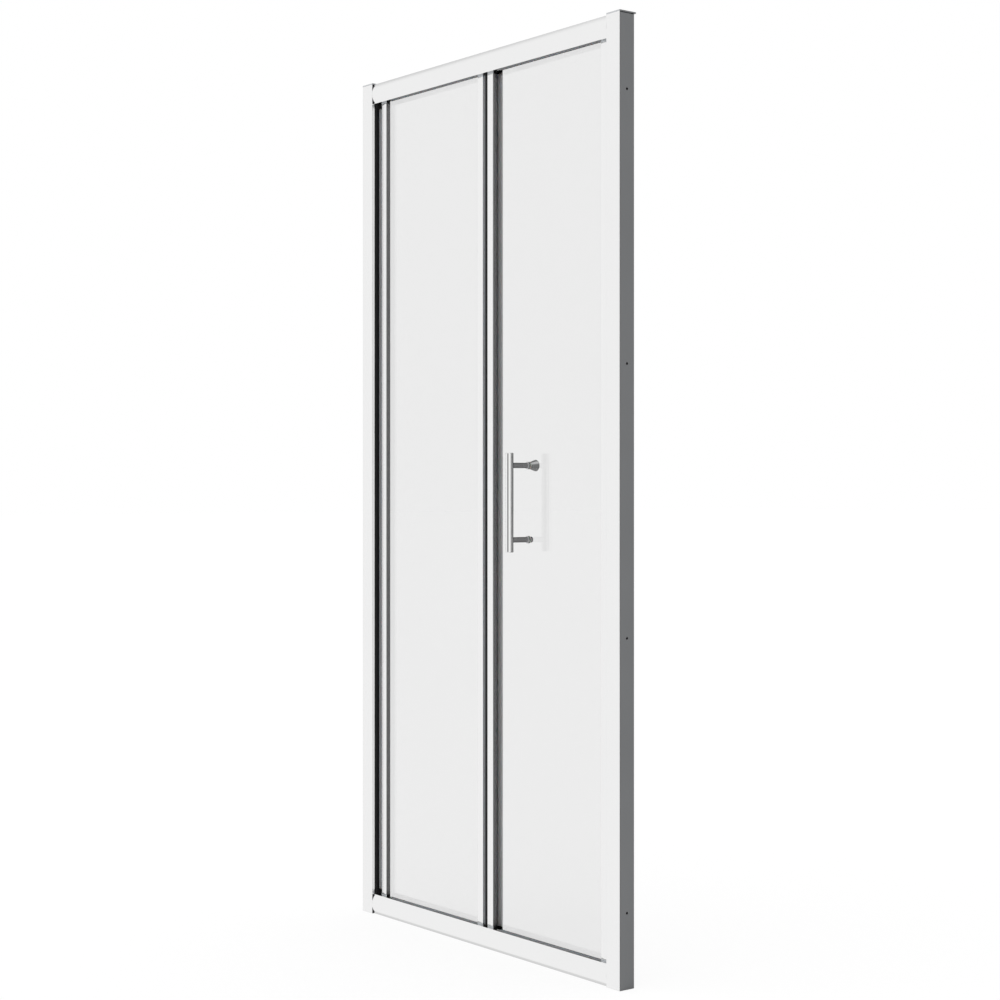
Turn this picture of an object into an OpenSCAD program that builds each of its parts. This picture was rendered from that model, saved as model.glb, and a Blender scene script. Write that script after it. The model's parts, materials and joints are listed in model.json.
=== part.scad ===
// Bifold shower door in a wall-to-wall frame.
// x runs along the doorway, y from the outside to the shower side, z up.
// The origin is the middle of the sill's underside.
// Depths are written from the front plane of the frame, which lies at y = -frame_d / 2.
// Pieces at the head are the ones at the sill, mirrored.

/* [Overall] */
// Width of the doorway that the frame fills
door_w = 880; // [760:10:1100]
// Height of the frame without its caps
door_h = 1850; // [1700:10:2100]
// Depth of the frame
frame_d = 37; // [37:1:44]

/* [Jambs and wall channels] */
// Width of a jamb's front face
jamb_w = 39; // [37:1:46]
// Wall thickness of a jamb
jamb_wall = 1.5; // [1.3:0.1:1.8]
// Thickness of the cap on top of a jamb
cap_t = 3; // [2:0.5:5]
// How far the cap stands out behind the jamb
cap_back = 4.5; // [3:0.5:8]
// Depth of the plug under the cap
cap_plug_h = 6; // [4:1:10]
// Wall thickness of a wall channel
channel_t = 1.5; // [1.2:0.1:2]
// Length of a wall channel's legs
channel_leg = 28; // [24:1:31]
// Clearance between a wall channel and its jamb
channel_gap = 0.3; // [0.2:0.1:0.5]
// Radius of the wall fixing holes
wall_hole_r = 2.5; // [2:0.25:3]
// Number of wall fixing holes in a channel
wall_holes = 4; // [3:1:6]
// Distance from hole to hole in a channel
wall_hole_pitch = 520; // [300:10:560]

/* [Seal groove] */
// Depth of the groove's near side behind the front plane
groove_d0 = 6.3; // [5:0.1:7.5]
// Width of the groove's mouth, and of the seal in it
groove_w = 10.3; // [8:0.1:11]
// Height that the bulb seal stands out of the jamb
bulb_h = 3.4; // [2:0.1:3.6]
// Wall thickness of the bulb seal
bulb_wall = 1.4; // [1:0.1:1.8]

/* [Rails] */
// Height of a rail's bowed front face
rail_face_h = 43; // [41:0.5:48]
// Height of a rail's back wall and ledges
rail_back_h = 34.5; // [33:0.5:36]
// Depth of the bow of the front face
rail_bow = 4.5; // [2:0.25:5]
// Wall thickness of a rail
rail_wall = 1.8; // [1.5:0.1:2.2]
// Thickness of the ledges beside the slot
ledge_t = 2; // [1.6:0.1:2.4]
// Width of the slot between the ledges
slot_w = 12; // [11:0.5:12.5]

/* [Panels] */
// Thickness of the glass
glass_t = 6; // [5:0.5:6.5]
// Depth of the stiles' front behind the frame's front plane
nose_d = 15.7; // [15:0.1:16.5]
// Width of a stile's nose
nose_w = 19; // [18:0.5:21]
// Thickness of a stile's nose
nose_t = 10.7; // [10.3:0.1:11.5]
// Wall thickness of a stile
stile_wall = 1.4; // [1.2:0.1:1.6]
// Rounding of a nose's front edges
nose_round = 1; // [0.4:0.1:1.3]
// Gap between the two noses at the fold
fold_gap = 15.5; // [15:0.25:18]
// Depth of the fold axis behind the stiles' front
fold_d = 1.8; // [1.4:0.1:1.9]
// Offset of the fold axis from the middle of the doorway
fold_x = -3; // [-6:0.5:-2]
// Distance from the left jamb to the pivot axis
pivot_from_jamb = 20; // [19.5:0.25:22]
// Width of a fold stile's rear flange
flange_w = 30.2; // [24:0.2:36]
// Width of an end stile's rear lip
lip_w = 7; // [5:0.5:9]
// How far an end stile's glass pocket is set in from its outer side
pocket_inset = 3; // [2:0.25:3.5]
// Thickness of the front gaskets
front_gasket_t = 0.8; // [0.6:0.1:1.2]
// Thickness of the rear gaskets
rear_gasket_t = 1.4; // [1:0.1:1.8]
// Play between the glass and a pocket's wall
glass_play = 0.5; // [0.3:0.1:1]
// Height of the stiles' end plugs
plug_h = 8.5; // [8:0.5:14]
// Depth of a plug's tongue in its stile
tongue_h = 12; // [8:1:16]
// Gap between a panel and the rail's back wall
panel_clear = 2; // [1.6:0.1:3]

/* [Hinge and guides] */
// Largest fold of the left panel in degrees
fold_max = 75; // [50:1:75]
// Radius of the pivot and guide pins
pin_r = 3; // [2.5:0.1:3.1]
// Distance from the pivot stile's outer side to the pivot axis
pivot_inset = 6.5; // [6:0.25:8]
// Distance from the guide stile's outer side to the guide axis
guide_inset = 10.7; // [9:0.1:12]
// Radius of the hinge bead
bead_r = 3.2; // [2.8:0.1:3.4]
// Thickness of the bead's neck
neck_t = 1; // [0.8:0.1:1.2]
// Wall thickness of the hinge socket
socket_wall = 1.4; // [1:0.1:1.6]
// Running clearance of pins, axles and the hinge bead
run_gap = 0.06; // [0.04:0.01:0.09]
// Clearance between a moving piece and its rest
rest_gap = 0.3; // [0.2:0.05:0.4]
// Radius of the rollers
wheel_r = 7; // [6:0.25:8]
// Width of a roller
wheel_w = 4.5; // [3.5:0.25:5]
// Length of the roller carriage
carriage_l = 44; // [38:1:48]
// Thickness of the roller carriage
carriage_t = 9; // [8:0.5:10]
// Distance between the rollers' axles
axle_pitch = 28; // [24:1:30]
// Radius of the axles
axle_r = 2; // [1.5:0.25:2.5]
// Length of the guide shoe
shoe_l = 28; // [20:1:36]
// Width of the guide shoe's flange
shoe_w = 18; // [16:0.5:20]
// Length of the pivot bracket along the rail
bracket_l = 39; // [34:1:60]
// Height of the bracket's cheek above the rail's ledges
cheek_h = 18; // [14:1:30]
// Thickness of the bracket's cheek
cheek_t = 3.8; // [3:0.1:4]
// Length of the fold stop
stop_l = 20; // [12:1:40]
// Thickness of the rubber buffer on the fold stop
buffer_t = 4; // [2:0.5:8]

/* [Magnetic seal] */
// Width of the magnetic strips
magnet_w = 8; // [6:0.5:8.5]
// Thickness of the strip on the panel
magnet_t = 5.8; // [4:0.2:7]
// Air gap between the two strips
magnet_gap = 0.8; // [0.6:0.1:1.5]

/* [Handle] */
// Distance of the handle from the fold axis
handle_x = 127.5; // [110:0.5:180]
// Height of the handle's middle
handle_z = 920; // [800:10:1050]
// Length of the handle bar
bar_l = 200; // [180:5:400]
// Radius of the handle bar
bar_r = 8; // [6:0.5:10]
// Distance from the glass to the bar's axis
bar_reach = 46; // [40:1:50]
// Distance between the handle posts
post_pitch = 150; // [100:5:160]
// Radius of the handle posts
post_r = 5.5; // [4.5:0.25:6.5]
// Radius of the collars between the posts and the glass
collar_r = 7.5; // [6.5:0.1:9]
// Thickness of the collars
collar_t = 1.6; // [1:0.1:4]
// Radius of the studs through the glass
stud_r = 2.5; // [2:0.25:3]
// Radius of the holes in the glass
glass_hole_r = 5; // [4:0.25:5.5]
// Thickness of the washers behind the glass
washer_t = 1.2; // [0.6:0.1:2]
// Radius of the knob's narrow end
knob_r0 = 6.5; // [5.5:0.25:7.5]
// Radius of the knob's wide end
knob_r1 = 11.8; // [9:0.1:14]
// Length of the knob's cone
knob_cone = 17; // [10:1:24]
// Length of the knob's rounded end
knob_end = 3; // [2:0.5:6]
// Radius of the cap nut
nut_r = 6; // [5.2:0.1:7.5]
// Thickness of the cap nut
nut_t = 7; // [5:0.5:9]

/* [Fasteners] */
// Radius of the frame screws
screw_r = 1.85; // [1.5:0.05:2]
// Radius of the frame screws' heads
head_r = 3.2; // [2.8:0.1:3.4]
// Thickness of the frame screws' heads
head_t = 2.2; // [1.6:0.1:2.6]
// Grip of a corner screw in its rail
corner_grip = 20; // [12:1:30]
// Number of adjusting screws in a jamb
adjust_screws_n = 4; // [3:1:6]
// Distance of the first adjusting screw from the end of a jamb
adjust_inset = 150; // [100:10:200]
// Distance of the adjusting screws from the wall
adjust_from_wall = 18; // [14:1:21]
// Radius of the adjusting screws' covers
cover_r = 5.5; // [5:0.1:7]
// Height of the adjusting screws' covers
cover_h = 4; // [3.5:0.25:6]

/* [Hidden] */
$fn = 64;

// A little more than nothing, so that cuts run clear of faces
eps = 0.1;

// Depths behind the front plane
nose_back_d = nose_d + nose_t;
glass_d = nose_back_d + front_gasket_t;
glass_back_d = glass_d + glass_t;
flange_d = glass_back_d + rear_gasket_t;
panel_back_d = flange_d + stile_wall;
fold_axis_d = nose_d + fold_d;
pivot_d = nose_d + nose_t / 2;
rail_back_in = frame_d - rail_wall;

// Places along the doorway
jamb_in = door_w / 2 - jamb_w;
pivot_x = -jamb_in + pivot_from_jamb;
arm = fold_x - pivot_x;
guide_x = fold_x + arm;
pivot_stile_x = pivot_x - pivot_inset;
guide_stile_x = guide_x + guide_inset;
fold_left_x = fold_x - fold_gap / 2;
fold_right_x = fold_x + fold_gap / 2;

// Heights at the sill
ledge_z = rail_back_h - ledge_t;
panel_z0 = rail_back_h + panel_clear;
stile_z0 = panel_z0 + plug_h;
seal_base_t = 1.4;
seal_leg = 1.2;
seal_skin = 0.8;
glass_z0 = panel_z0 + seal_base_t;

// Jamb details
channel_top_gap = 2;
wall_setback = 0.4;
groove_lip = 1;
groove_undercut = 1;
groove_depth = 2.7;
seal_play = 0.2;
groove_back = groove_depth + jamb_wall;
foot_t = groove_depth - groove_lip - 2 * seal_play;
cap_plug_clear = 1.7;
cap_plug_u0 = 4;
cap_plug_u1 = 30;

// Rail details
bow_r = (pow(rail_face_h / 2, 2) + pow(rail_bow, 2)) / (2 * rail_bow);
port_z = 6.5;
port_r = screw_r + 1.6;
port_bore_r = screw_r + 0.05;
port_ds = [groove_d0 + groove_w + groove_undercut + jamb_wall + head_r + 1.2, rail_back_in - port_r - 0.2];
block_d0 = rail_wall + rail_bow + 0.7;
block_d1 = rail_back_in - 1.2;

// How far the pivot stile's wiper reaches from the pivot axis
wiper_reach = pivot_from_jamb - 1.7;
wiper_t = 1.2;

// Bracket details
bracket_top_z = rail_back_h + 0.4;
washer_h = panel_clear - 0.4 - rest_gap;
cheek_d0 = 8;
cheek_d1 = 30;
bore_floor = 15.5;
slot_play = 0.35;
bracket_screw_z = 22;

// Carriage details
wheel_z = ledge_z - rest_gap - wheel_r;
wheel_in = slot_w / 2 + 0.5;
wheel_out = wheel_in + wheel_w;
axle_head_t = 1.2;
axle_head_r = axle_r + 1;
carriage_z1 = ledge_z - 2;
carriage_h = 15;
pin_head_r = pin_r + 2.5;
pin_head_t = 3;
pin_sink = 10;

// Place of the guide axis when the door is folded all the way
fold_offset = pivot_d - fold_axis_d;
guide_folded_x = pivot_x + 2 * (arm * cos(fold_max) + fold_offset * sin(fold_max));
stop_face_x = guide_folded_x - carriage_l / 2 - rest_gap;
stop_h = 15;

// Hinge details
socket_r0 = bead_r + run_gap;
socket_r1 = socket_r0 + socket_wall;
neck_angle = asin(neck_t / 2 / socket_r0) + 0.3 / socket_r0 * 180 / PI;
web_d0 = socket_r1 - 1.8;
web_t = 2.4;
strip_foot_t = 1.4;
strip_foot_over = 1.4;
plate_t = 1.3;
disc_r = bead_r + 1.3;
disc_h = 6;

// Handle details
bar_d = glass_d - bar_reach;
handle_at = fold_x + handle_x;
stud_play = 0.05;
stud_in_post = 16;
bar_edge = 0.8;
bush_r = glass_hole_r - 0.1;

white_metal = [0.86, 0.87, 0.88];
side_metal = [0.7, 0.71, 0.72];
chrome = [0.78, 0.79, 0.8];
black = [0.08, 0.08, 0.09];
grey_seal = [0.5, 0.51, 0.53];
cap_grey = [0.74, 0.77, 0.8];
steel = [0.62, 0.63, 0.65];
acetal = [0.93, 0.93, 0.9];
clear_glass = [0.8, 0.9, 0.9, 0.35];

// Moves depths from the front plane into the part's own frame
module in_frame() {
    translate([0, -frame_d / 2, 0])
        children();
}

// The same piece at the head, mirrored from the sill
module at_head() {
    translate([0, 0, door_h])
        mirror([0, 0, 1])
            children();
}

module at_both_ends() {
    children();
    at_head()
        children();
}

// A piece drawn from the left wall, with the wall at x = 0
module from_left_wall() {
    translate([-door_w / 2, 0, 0])
        children();
}

module from_right_wall() {
    translate([door_w / 2, 0, 0])
        mirror([1, 0, 0])
            children();
}

module on_both_walls() {
    from_left_wall()
        children();
    from_right_wall()
        children();
}

// A stile drawn from its outer side towards the glass
module stile_facing_right(x) {
    translate([x, 0, 0])
        children();
}

module stile_facing_left(x) {
    translate([x, 0, 0])
        mirror([1, 0, 0])
            children();
}

// A box from one corner to the other
module box(low, high) {
    translate(low)
        cube(high - low);
}

module rect(low, high) {
    translate(low)
        square(high - low);
}

// A rectangle with round corners
module soft_rect(low, high, r) {
    rect([low[0] + r, low[1]], [high[0] - r, high[1]]);
    rect([low[0], low[1] + r], [high[0], high[1] - r]);
    for (x = [low[0] + r, high[0] - r])
        for (y = [low[1] + r, high[1] - r])
            translate([x, y])
                circle(r);
}

// Cylinders along x and along the depth
module rod_x(x0, x1, d, z, r) {
    translate([x0, d, z])
        rotate([0, 90, 0])
            cylinder(h = x1 - x0, r = r);
}

module rod_d(d0, d1, x, z, r, r_end = -1) {
    translate([x, d0, z])
        rotate([-90, 0, 0])
            cylinder(h = d1 - d0, r1 = r, r2 = r_end < 0 ? r : r_end);
}

// ---- Jambs and wall channels, drawn from the wall ----

module groove_2d(grow = 0) {
    rect([jamb_w - groove_lip - eps, groove_d0 - grow], [jamb_w + eps, groove_d0 + groove_w + grow]);
    rect(
        [jamb_w - groove_depth, groove_d0 - groove_undercut],
        [jamb_w - groove_lip, groove_d0 + groove_w + groove_undercut]
    );
}

module jamb_2d() {
    difference() {
        soft_rect([wall_setback, 0], [jamb_w, frame_d], 0.8);
        difference() {
            rect([-eps, jamb_wall], [jamb_w - jamb_wall, frame_d - jamb_wall]);
            rect(
                [jamb_w - groove_back, groove_d0 - groove_undercut - jamb_wall],
                [jamb_w, groove_d0 + groove_w + groove_undercut + jamb_wall]
            );
        }
        groove_2d();
    }
}

// Places of the adjusting screws up a jamb
function adjust_zs() = [
    for (i = [0 : adjust_screws_n - 1])
        adjust_inset + i * (door_h - 2 * adjust_inset) / (adjust_screws_n - 1)
];

module jamb() {
    difference() {
        linear_extrude(door_h)
            jamb_2d();
        for (z = adjust_zs())
            rod_d(frame_d - jamb_wall - eps, frame_d + eps, adjust_from_wall, z, screw_r + 0.3);
        for (z = [port_z, door_h - port_z])
            for (d = port_ds)
                rod_x(jamb_w - jamb_wall - eps, jamb_w + eps, d, z, screw_r + 0.3);
        for (z = [bracket_screw_z, door_h - bracket_screw_z])
            rod_x(jamb_w - jamb_wall - eps, jamb_w + eps, port_ds[0], z, screw_r + 0.3);
    }
}

module wall_channel() {
    leg_d = jamb_wall + channel_gap;
    difference() {
        linear_extrude(door_h - channel_top_gap)
            difference() {
                rect([0, leg_d], [channel_leg, frame_d - leg_d]);
                rect([channel_t, leg_d + channel_t], [channel_leg + eps, frame_d - leg_d - channel_t]);
            }
        for (i = [0 : wall_holes - 1])
            rod_x(
                -eps,
                channel_t + eps,
                frame_d / 2,
                door_h / 2 + (i - (wall_holes - 1) / 2) * wall_hole_pitch,
                wall_hole_r
            );
        for (z = adjust_zs())
            rod_d(frame_d - leg_d - channel_t - eps, frame_d - leg_d + eps, adjust_from_wall, z, screw_r + 0.05);
    }
}

module jamb_cap() {
    plug_d = jamb_wall + channel_gap + channel_t + cap_plug_clear;
    box([0, 0, door_h], [jamb_w, frame_d + cap_back, door_h + cap_t]);
    box([cap_plug_u0, plug_d, door_h - cap_plug_h], [cap_plug_u1, frame_d - plug_d, door_h + eps]);
}

module jamb_left() {
    color(white_metal)
        in_frame()
            from_left_wall()
                jamb();
}

module jamb_right() {
    color(white_metal)
        in_frame()
            from_right_wall()
                jamb();
}

module wall_channel_left() {
    color(side_metal)
        in_frame()
            from_left_wall()
                wall_channel();
}

module wall_channel_right() {
    color(side_metal)
        in_frame()
            from_right_wall()
                wall_channel();
}

module jamb_caps() {
    color(side_metal)
        in_frame()
            on_both_walls()
                jamb_cap();
}

// ---- Rails ----

module rail_port_2d(d) {
    difference() {
        union() {
            translate([d, port_z])
                circle(port_r);
            rect([d - 1.5, 0], [d + 1.5, port_z]);
        }
        translate([d, port_z])
            circle(port_bore_r);
        rect([d - 0.75 * port_bore_r, port_z], [d + 0.75 * port_bore_r, port_z + 2 * port_r]);
    }
}

// The rail's section, drawn as depth and height
module rail_2d() {
    mid = [bow_r, rail_face_h / 2];
    slot_d0 = pivot_d - slot_w / 2;
    slot_d1 = pivot_d + slot_w / 2;
    difference() {
        intersection() {
            translate(mid)
                circle(bow_r, $fn = 180);
            rect([0, 0], [frame_d, rail_face_h]);
        }
        intersection() {
            translate(mid)
                circle(bow_r - rail_wall, $fn = 180);
            rect([0, rail_wall], [rail_back_in, rail_face_h + eps]);
        }
        rect([frame_d / 2, rail_back_h], [frame_d + eps, rail_face_h + eps]);
    }
    intersection() {
        translate(mid)
            circle(bow_r - rail_wall / 2, $fn = 180);
        rect([0, ledge_z], [slot_d0, rail_back_h]);
    }
    rect([slot_d1, ledge_z], [rail_back_in + eps, rail_back_h]);
    for (d = port_ds)
        rail_port_2d(d);
}

module rail() {
    translate([-jamb_in, 0, 0])
        rotate([90, 0, 90])
            linear_extrude(2 * jamb_in)
                rail_2d();
}

module sill_rail() {
    color(white_metal)
        in_frame()
            rail();
}

module head_rail() {
    color(white_metal)
        in_frame()
            difference() {
                at_head()
                    rail();
                stop_screw_hole();
            }
}

// ---- Frame fasteners ----

// A screw along the doorway, with its head inside the left jamb
module frame_screw(d, z, grip) {
    head_x = jamb_w - jamb_wall;
    rod_x(head_x - head_t, head_x, d, z, head_r);
    rod_x(head_x - eps, jamb_w + grip, d, z, screw_r);
}

module corner_screws() {
    color(steel)
        in_frame()
            on_both_walls()
                for (z = [port_z, door_h - port_z])
                    for (d = port_ds)
                        frame_screw(d, z, corner_grip);
}

module bracket_screws() {
    color(steel)
        in_frame()
            from_left_wall()
                for (z = [bracket_screw_z, door_h - bracket_screw_z])
                    frame_screw(port_ds[0], z, 12);
}

module adjust_screws() {
    color(steel)
        in_frame()
            on_both_walls()
                for (z = adjust_zs()) {
                    rod_d(frame_d, frame_d + head_t, adjust_from_wall, z, head_r);
                    rod_d(frame_d - 6, frame_d + eps, adjust_from_wall, z, screw_r);
                }
}

module screw_covers() {
    color(chrome)
        in_frame()
            on_both_walls()
                for (z = adjust_zs())
                    difference() {
                        union() {
                            rod_d(frame_d, frame_d + cover_h - 1, adjust_from_wall, z, cover_r);
                            rod_d(
                                frame_d + cover_h - 1,
                                frame_d + cover_h,
                                adjust_from_wall,
                                z,
                                cover_r,
                                cover_r - 1
                            );
                        }
                        rod_d(frame_d - eps, frame_d + head_t + 0.4, adjust_from_wall, z, head_r + 0.4);
                    }
}

// ---- Seals on the jambs, drawn from the wall ----

module seal_foot_2d() {
    foot_u = jamb_w - groove_depth + seal_play;
    rect(
        [foot_u, groove_d0 - groove_undercut + seal_play],
        [foot_u + foot_t, groove_d0 + groove_w + groove_undercut - seal_play]
    );
    rect([foot_u, groove_d0 + seal_play], [jamb_w, groove_d0 + groove_w - seal_play]);
}

module jamb_seal() {
    half_w = groove_w / 2 - seal_play;
    crown_r = (pow(half_w, 2) + pow(bulb_h, 2)) / (2 * bulb_h);
    color(black)
        in_frame()
            from_left_wall()
                translate([0, 0, rail_back_h + cheek_h + rest_gap])
                    linear_extrude(door_h - 2 * (rail_back_h + cheek_h + rest_gap)) {
                        seal_foot_2d();
                        difference() {
                            intersection() {
                                translate([jamb_w + bulb_h - crown_r, groove_d0 + groove_w / 2])
                                    circle(crown_r);
                                rect([jamb_w, groove_d0], [jamb_w + bulb_h, groove_d0 + groove_w]);
                            }
                            intersection() {
                                translate([jamb_w + bulb_h - crown_r, groove_d0 + groove_w / 2])
                                    circle(crown_r - bulb_wall);
                                rect([jamb_w + 0.4, groove_d0], [jamb_w + bulb_h, groove_d0 + groove_w]);
                            }
                        }
                    }
}

// Faces of the two magnetic strips
panel_magnet_x = guide_stile_x + magnet_t;
strike_face = door_w / 2 - panel_magnet_x - magnet_gap;
magnet_d0 = pivot_d - magnet_w / 2;

module strike_magnet() {
    color(grey_seal)
        in_frame()
            from_right_wall()
                translate([0, 0, rail_face_h + 0.5])
                    linear_extrude(door_h - 2 * (rail_face_h + 0.5)) {
                        seal_foot_2d();
                        rect([jamb_w, groove_d0 + seal_play], [jamb_w + 1.6, magnet_d0 + magnet_w]);
                        rect([jamb_w, magnet_d0], [strike_face, magnet_d0 + magnet_w]);
                    }
}

module panel_magnet() {
    color(grey_seal)
        in_frame()
            box([guide_stile_x, magnet_d0, stile_z0], [panel_magnet_x, magnet_d0 + magnet_w, door_h - stile_z0]);
}

// ---- Pivot brackets, fold stop and thrust washers ----

module pivot_bracket() {
    difference() {
        union() {
            difference() {
                box([-jamb_in, block_d0, rail_wall], [-jamb_in + bracket_l, block_d1, ledge_z]);
                for (d = port_ds)
                    box(
                        [-jamb_in - eps, d - port_r - 0.3, 0],
                        [-jamb_in + bracket_l + eps, d + port_r + 0.3, port_z + port_r + 0.3]
                    );
            }
            box(
                [-jamb_in, pivot_d - slot_w / 2 + slot_play, ledge_z - eps],
                [-jamb_in + bracket_l, pivot_d + slot_w / 2 - slot_play, bracket_top_z]
            );
            box(
                [-jamb_in, cheek_d0, rail_back_h + 0.1],
                [-jamb_in + cheek_t, cheek_d1, rail_back_h + cheek_h]
            );
        }
        translate([pivot_x, pivot_d, bore_floor])
            cylinder(h = bracket_top_z, r = pin_r + run_gap);
        rod_x(-jamb_in - eps, -jamb_in + 12.5, port_ds[0], bracket_screw_z, screw_r + 0.05);
    }
}

module pivot_bracket_bottom() {
    color(black)
        in_frame()
            pivot_bracket();
}

module pivot_bracket_top() {
    color(black)
        in_frame()
            at_head()
                pivot_bracket();
}

// The washers that carry the left panel's weight and space it at the head
module thrust_washer(z0) {
    translate([pivot_x, pivot_d, z0])
        difference() {
            cylinder(h = washer_h, r = pin_r + 2.4);
            translate([0, 0, -eps])
                cylinder(h = washer_h + 2 * eps, r = pin_r + run_gap);
        }
}

module washer_bottom() {
    color(acetal)
        in_frame()
            thrust_washer(bracket_top_z);
}

module washer_top() {
    color(acetal)
        in_frame()
            at_head()
                thrust_washer(panel_z0 - washer_h);
}

module stop_screw_hole() {
    rod_d(
        rail_back_in - eps,
        frame_d + eps,
        stop_face_x - buffer_t - stop_l / 2,
        door_h - ledge_z + stop_h / 2,
        screw_r + 0.2
    );
}

module fold_stop() {
    x1 = stop_face_x - buffer_t;
    color(black)
        in_frame()
            difference() {
                at_head()
                    box([x1 - stop_l, block_d0, ledge_z - stop_h], [x1, block_d1, ledge_z]);
                rod_d(block_d1 - 9, block_d1 + eps, x1 - stop_l / 2, door_h - ledge_z + stop_h / 2, screw_r + 0.05);
            }
}

module stop_buffer() {
    color(black)
        in_frame()
            at_head()
                box(
                    [stop_face_x - buffer_t, pivot_d - carriage_t / 2, ledge_z - stop_h + 1],
                    [stop_face_x, pivot_d + carriage_t / 2, ledge_z - 1]
                );
}

module stop_screw() {
    x = stop_face_x - buffer_t - stop_l / 2;
    z = door_h - ledge_z + stop_h / 2;
    color(steel)
        in_frame() {
            rod_d(frame_d, frame_d + head_t, x, z, head_r);
            rod_d(block_d1 - 8, frame_d + eps, x, z, screw_r);
        }
}

// ---- Stiles, drawn from their outer side towards the glass ----

module nose_2d() {
    difference() {
        union() {
            soft_rect([0, nose_d], [nose_w, nose_back_d], nose_round);
            rect([0, pivot_d], [nose_w, nose_back_d]);
        }
        rect([stile_wall, nose_d + stile_wall], [nose_w - stile_wall, nose_back_d - stile_wall]);
    }
}

module end_stile_2d() {
    nose_2d();
    rect([pocket_inset, nose_back_d - eps], [pocket_inset + stile_wall, panel_back_d]);
    rect([pocket_inset, flange_d], [pocket_inset + lip_w, panel_back_d]);
}

// The slot that the hinge strips slide into
module strip_slot_2d() {
    rect(
        [-eps, fold_axis_d + web_d0 - 0.1],
        [stile_wall + eps, fold_axis_d + web_d0 + web_t + 0.1]
    );
}

module fold_stile_2d() {
    difference() {
        union() {
            nose_2d();
            rect([0, nose_back_d - eps], [stile_wall, panel_back_d]);
            rect([0, flange_d], [flange_w, panel_back_d]);
        }
        strip_slot_2d();
    }
}

module stile_length() {
    translate([0, 0, stile_z0])
        linear_extrude(door_h - 2 * stile_z0)
            children();
}

module pivot_stile() {
    color(white_metal)
        in_frame()
            stile_facing_right(pivot_stile_x)
                stile_length()
                    end_stile_2d();
}

module guide_stile() {
    color(white_metal)
        in_frame()
            stile_facing_left(guide_stile_x)
                stile_length()
                    end_stile_2d();
}

module fold_stile_left() {
    color(white_metal)
        in_frame()
            stile_facing_left(fold_left_x)
                stile_length()
                    fold_stile_2d();
}

module fold_stile_right() {
    color(white_metal)
        in_frame()
            stile_facing_right(fold_right_x)
                stile_length()
                    fold_stile_2d();
}

// The plug that closes a stile: a head, a tongue in the nose and a tail behind the glass
module stile_plug(tail_u0, tail_w, tongue_u0) {
    box([0, nose_d + stile_wall, panel_z0], [nose_w, nose_back_d, stile_z0]);
    box(
        [tongue_u0, nose_d + stile_wall + 0.2, stile_z0 - eps],
        [nose_w - stile_wall - 0.2, nose_back_d - stile_wall - 0.2, stile_z0 + tongue_h]
    );
    box([tail_u0, nose_back_d - eps, panel_z0], [tail_u0 + stile_wall, panel_back_d, stile_z0]);
    box([tail_u0, glass_back_d + 0.3, panel_z0], [tail_u0 + tail_w, panel_back_d, stile_z0]);
}

// An end stile's plug, bored for its pin
module end_plug(pin_u) {
    difference() {
        stile_plug(pocket_inset, lip_w, stile_wall + 0.2);
        translate([pin_u, pivot_d, panel_z0 - eps])
            cylinder(h = plug_h + tongue_h + 1, r = pin_r + 0.02);
    }
}

module pivot_stile_plugs() {
    color(black)
        in_frame()
            at_both_ends()
                stile_facing_right(pivot_stile_x)
                    end_plug(pivot_inset);
}

module guide_stile_plugs() {
    color(black)
        in_frame()
            at_both_ends()
                stile_facing_left(guide_stile_x)
                    end_plug(guide_inset);
}

// The lip that closes the gap between the pivot stile and its jamb
module pivot_wiper() {
    z0 = rail_back_h + cheek_h + rest_gap;
    color(grey_seal)
        in_frame()
            translate([pivot_x, 0, 0])
                box([-wiper_reach, pivot_d + 0.9, z0], [-pivot_inset, pivot_d + 0.9 + wiper_t, door_h - z0]);
}

module fold_plug() {
    stile_plug(0, flange_w, stile_wall + strip_foot_t + 0.7);
}

module fold_plugs_left() {
    color(black)
        in_frame()
            at_both_ends()
                stile_facing_left(fold_left_x)
                    fold_plug();
}

module fold_plugs_right() {
    color(black)
        in_frame()
            at_both_ends()
                stile_facing_right(fold_right_x)
                    fold_plug();
}

// The light cover on the front of a plug
module cap_cover() {
    translate([0, 0, panel_z0])
        linear_extrude(plug_h)
            intersection() {
                soft_rect([0, nose_d], [nose_w, nose_back_d], nose_round);
                rect([0, nose_d], [nose_w, nose_d + stile_wall]);
            }
}

module left_cap_covers() {
    color(cap_grey)
        in_frame()
            at_both_ends() {
                stile_facing_right(pivot_stile_x)
                    cap_cover();
                stile_facing_left(fold_left_x)
                    cap_cover();
            }
}

module right_cap_covers() {
    color(cap_grey)
        in_frame()
            at_both_ends() {
                stile_facing_right(fold_right_x)
                    cap_cover();
                stile_facing_left(guide_stile_x)
                    cap_cover();
            }
}

// ---- Glass and its gaskets ----

left_glass_x0 = pivot_stile_x + pocket_inset + stile_wall + glass_play;
left_glass_x1 = fold_left_x - stile_wall - glass_play;
right_glass_x0 = fold_right_x + stile_wall + glass_play;
right_glass_x1 = guide_stile_x - pocket_inset - stile_wall - glass_play;

module pane(x0, x1) {
    box([x0, glass_d, glass_z0], [x1, glass_back_d, door_h - glass_z0]);
}

module left_glass() {
    color(clear_glass)
        in_frame()
            pane(left_glass_x0, left_glass_x1);
}

module right_glass() {
    color(clear_glass)
        in_frame()
            difference() {
                pane(right_glass_x0, right_glass_x1);
                at_posts()
                    rod_d(glass_d - eps, glass_back_d + eps, 0, 0, glass_hole_r);
            }
}

module end_gasket_front() {
    stile_length()
        rect([pocket_inset + stile_wall + 3, nose_back_d], [nose_w - 1.2, glass_d]);
}

module fold_gasket_front() {
    stile_length()
        rect([stile_wall + 3, nose_back_d], [nose_w - 1.2, glass_d]);
}

module end_gasket_rear() {
    stile_length()
        rect([pocket_inset + stile_wall + 1, glass_back_d], [pocket_inset + lip_w, flange_d]);
}

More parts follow.
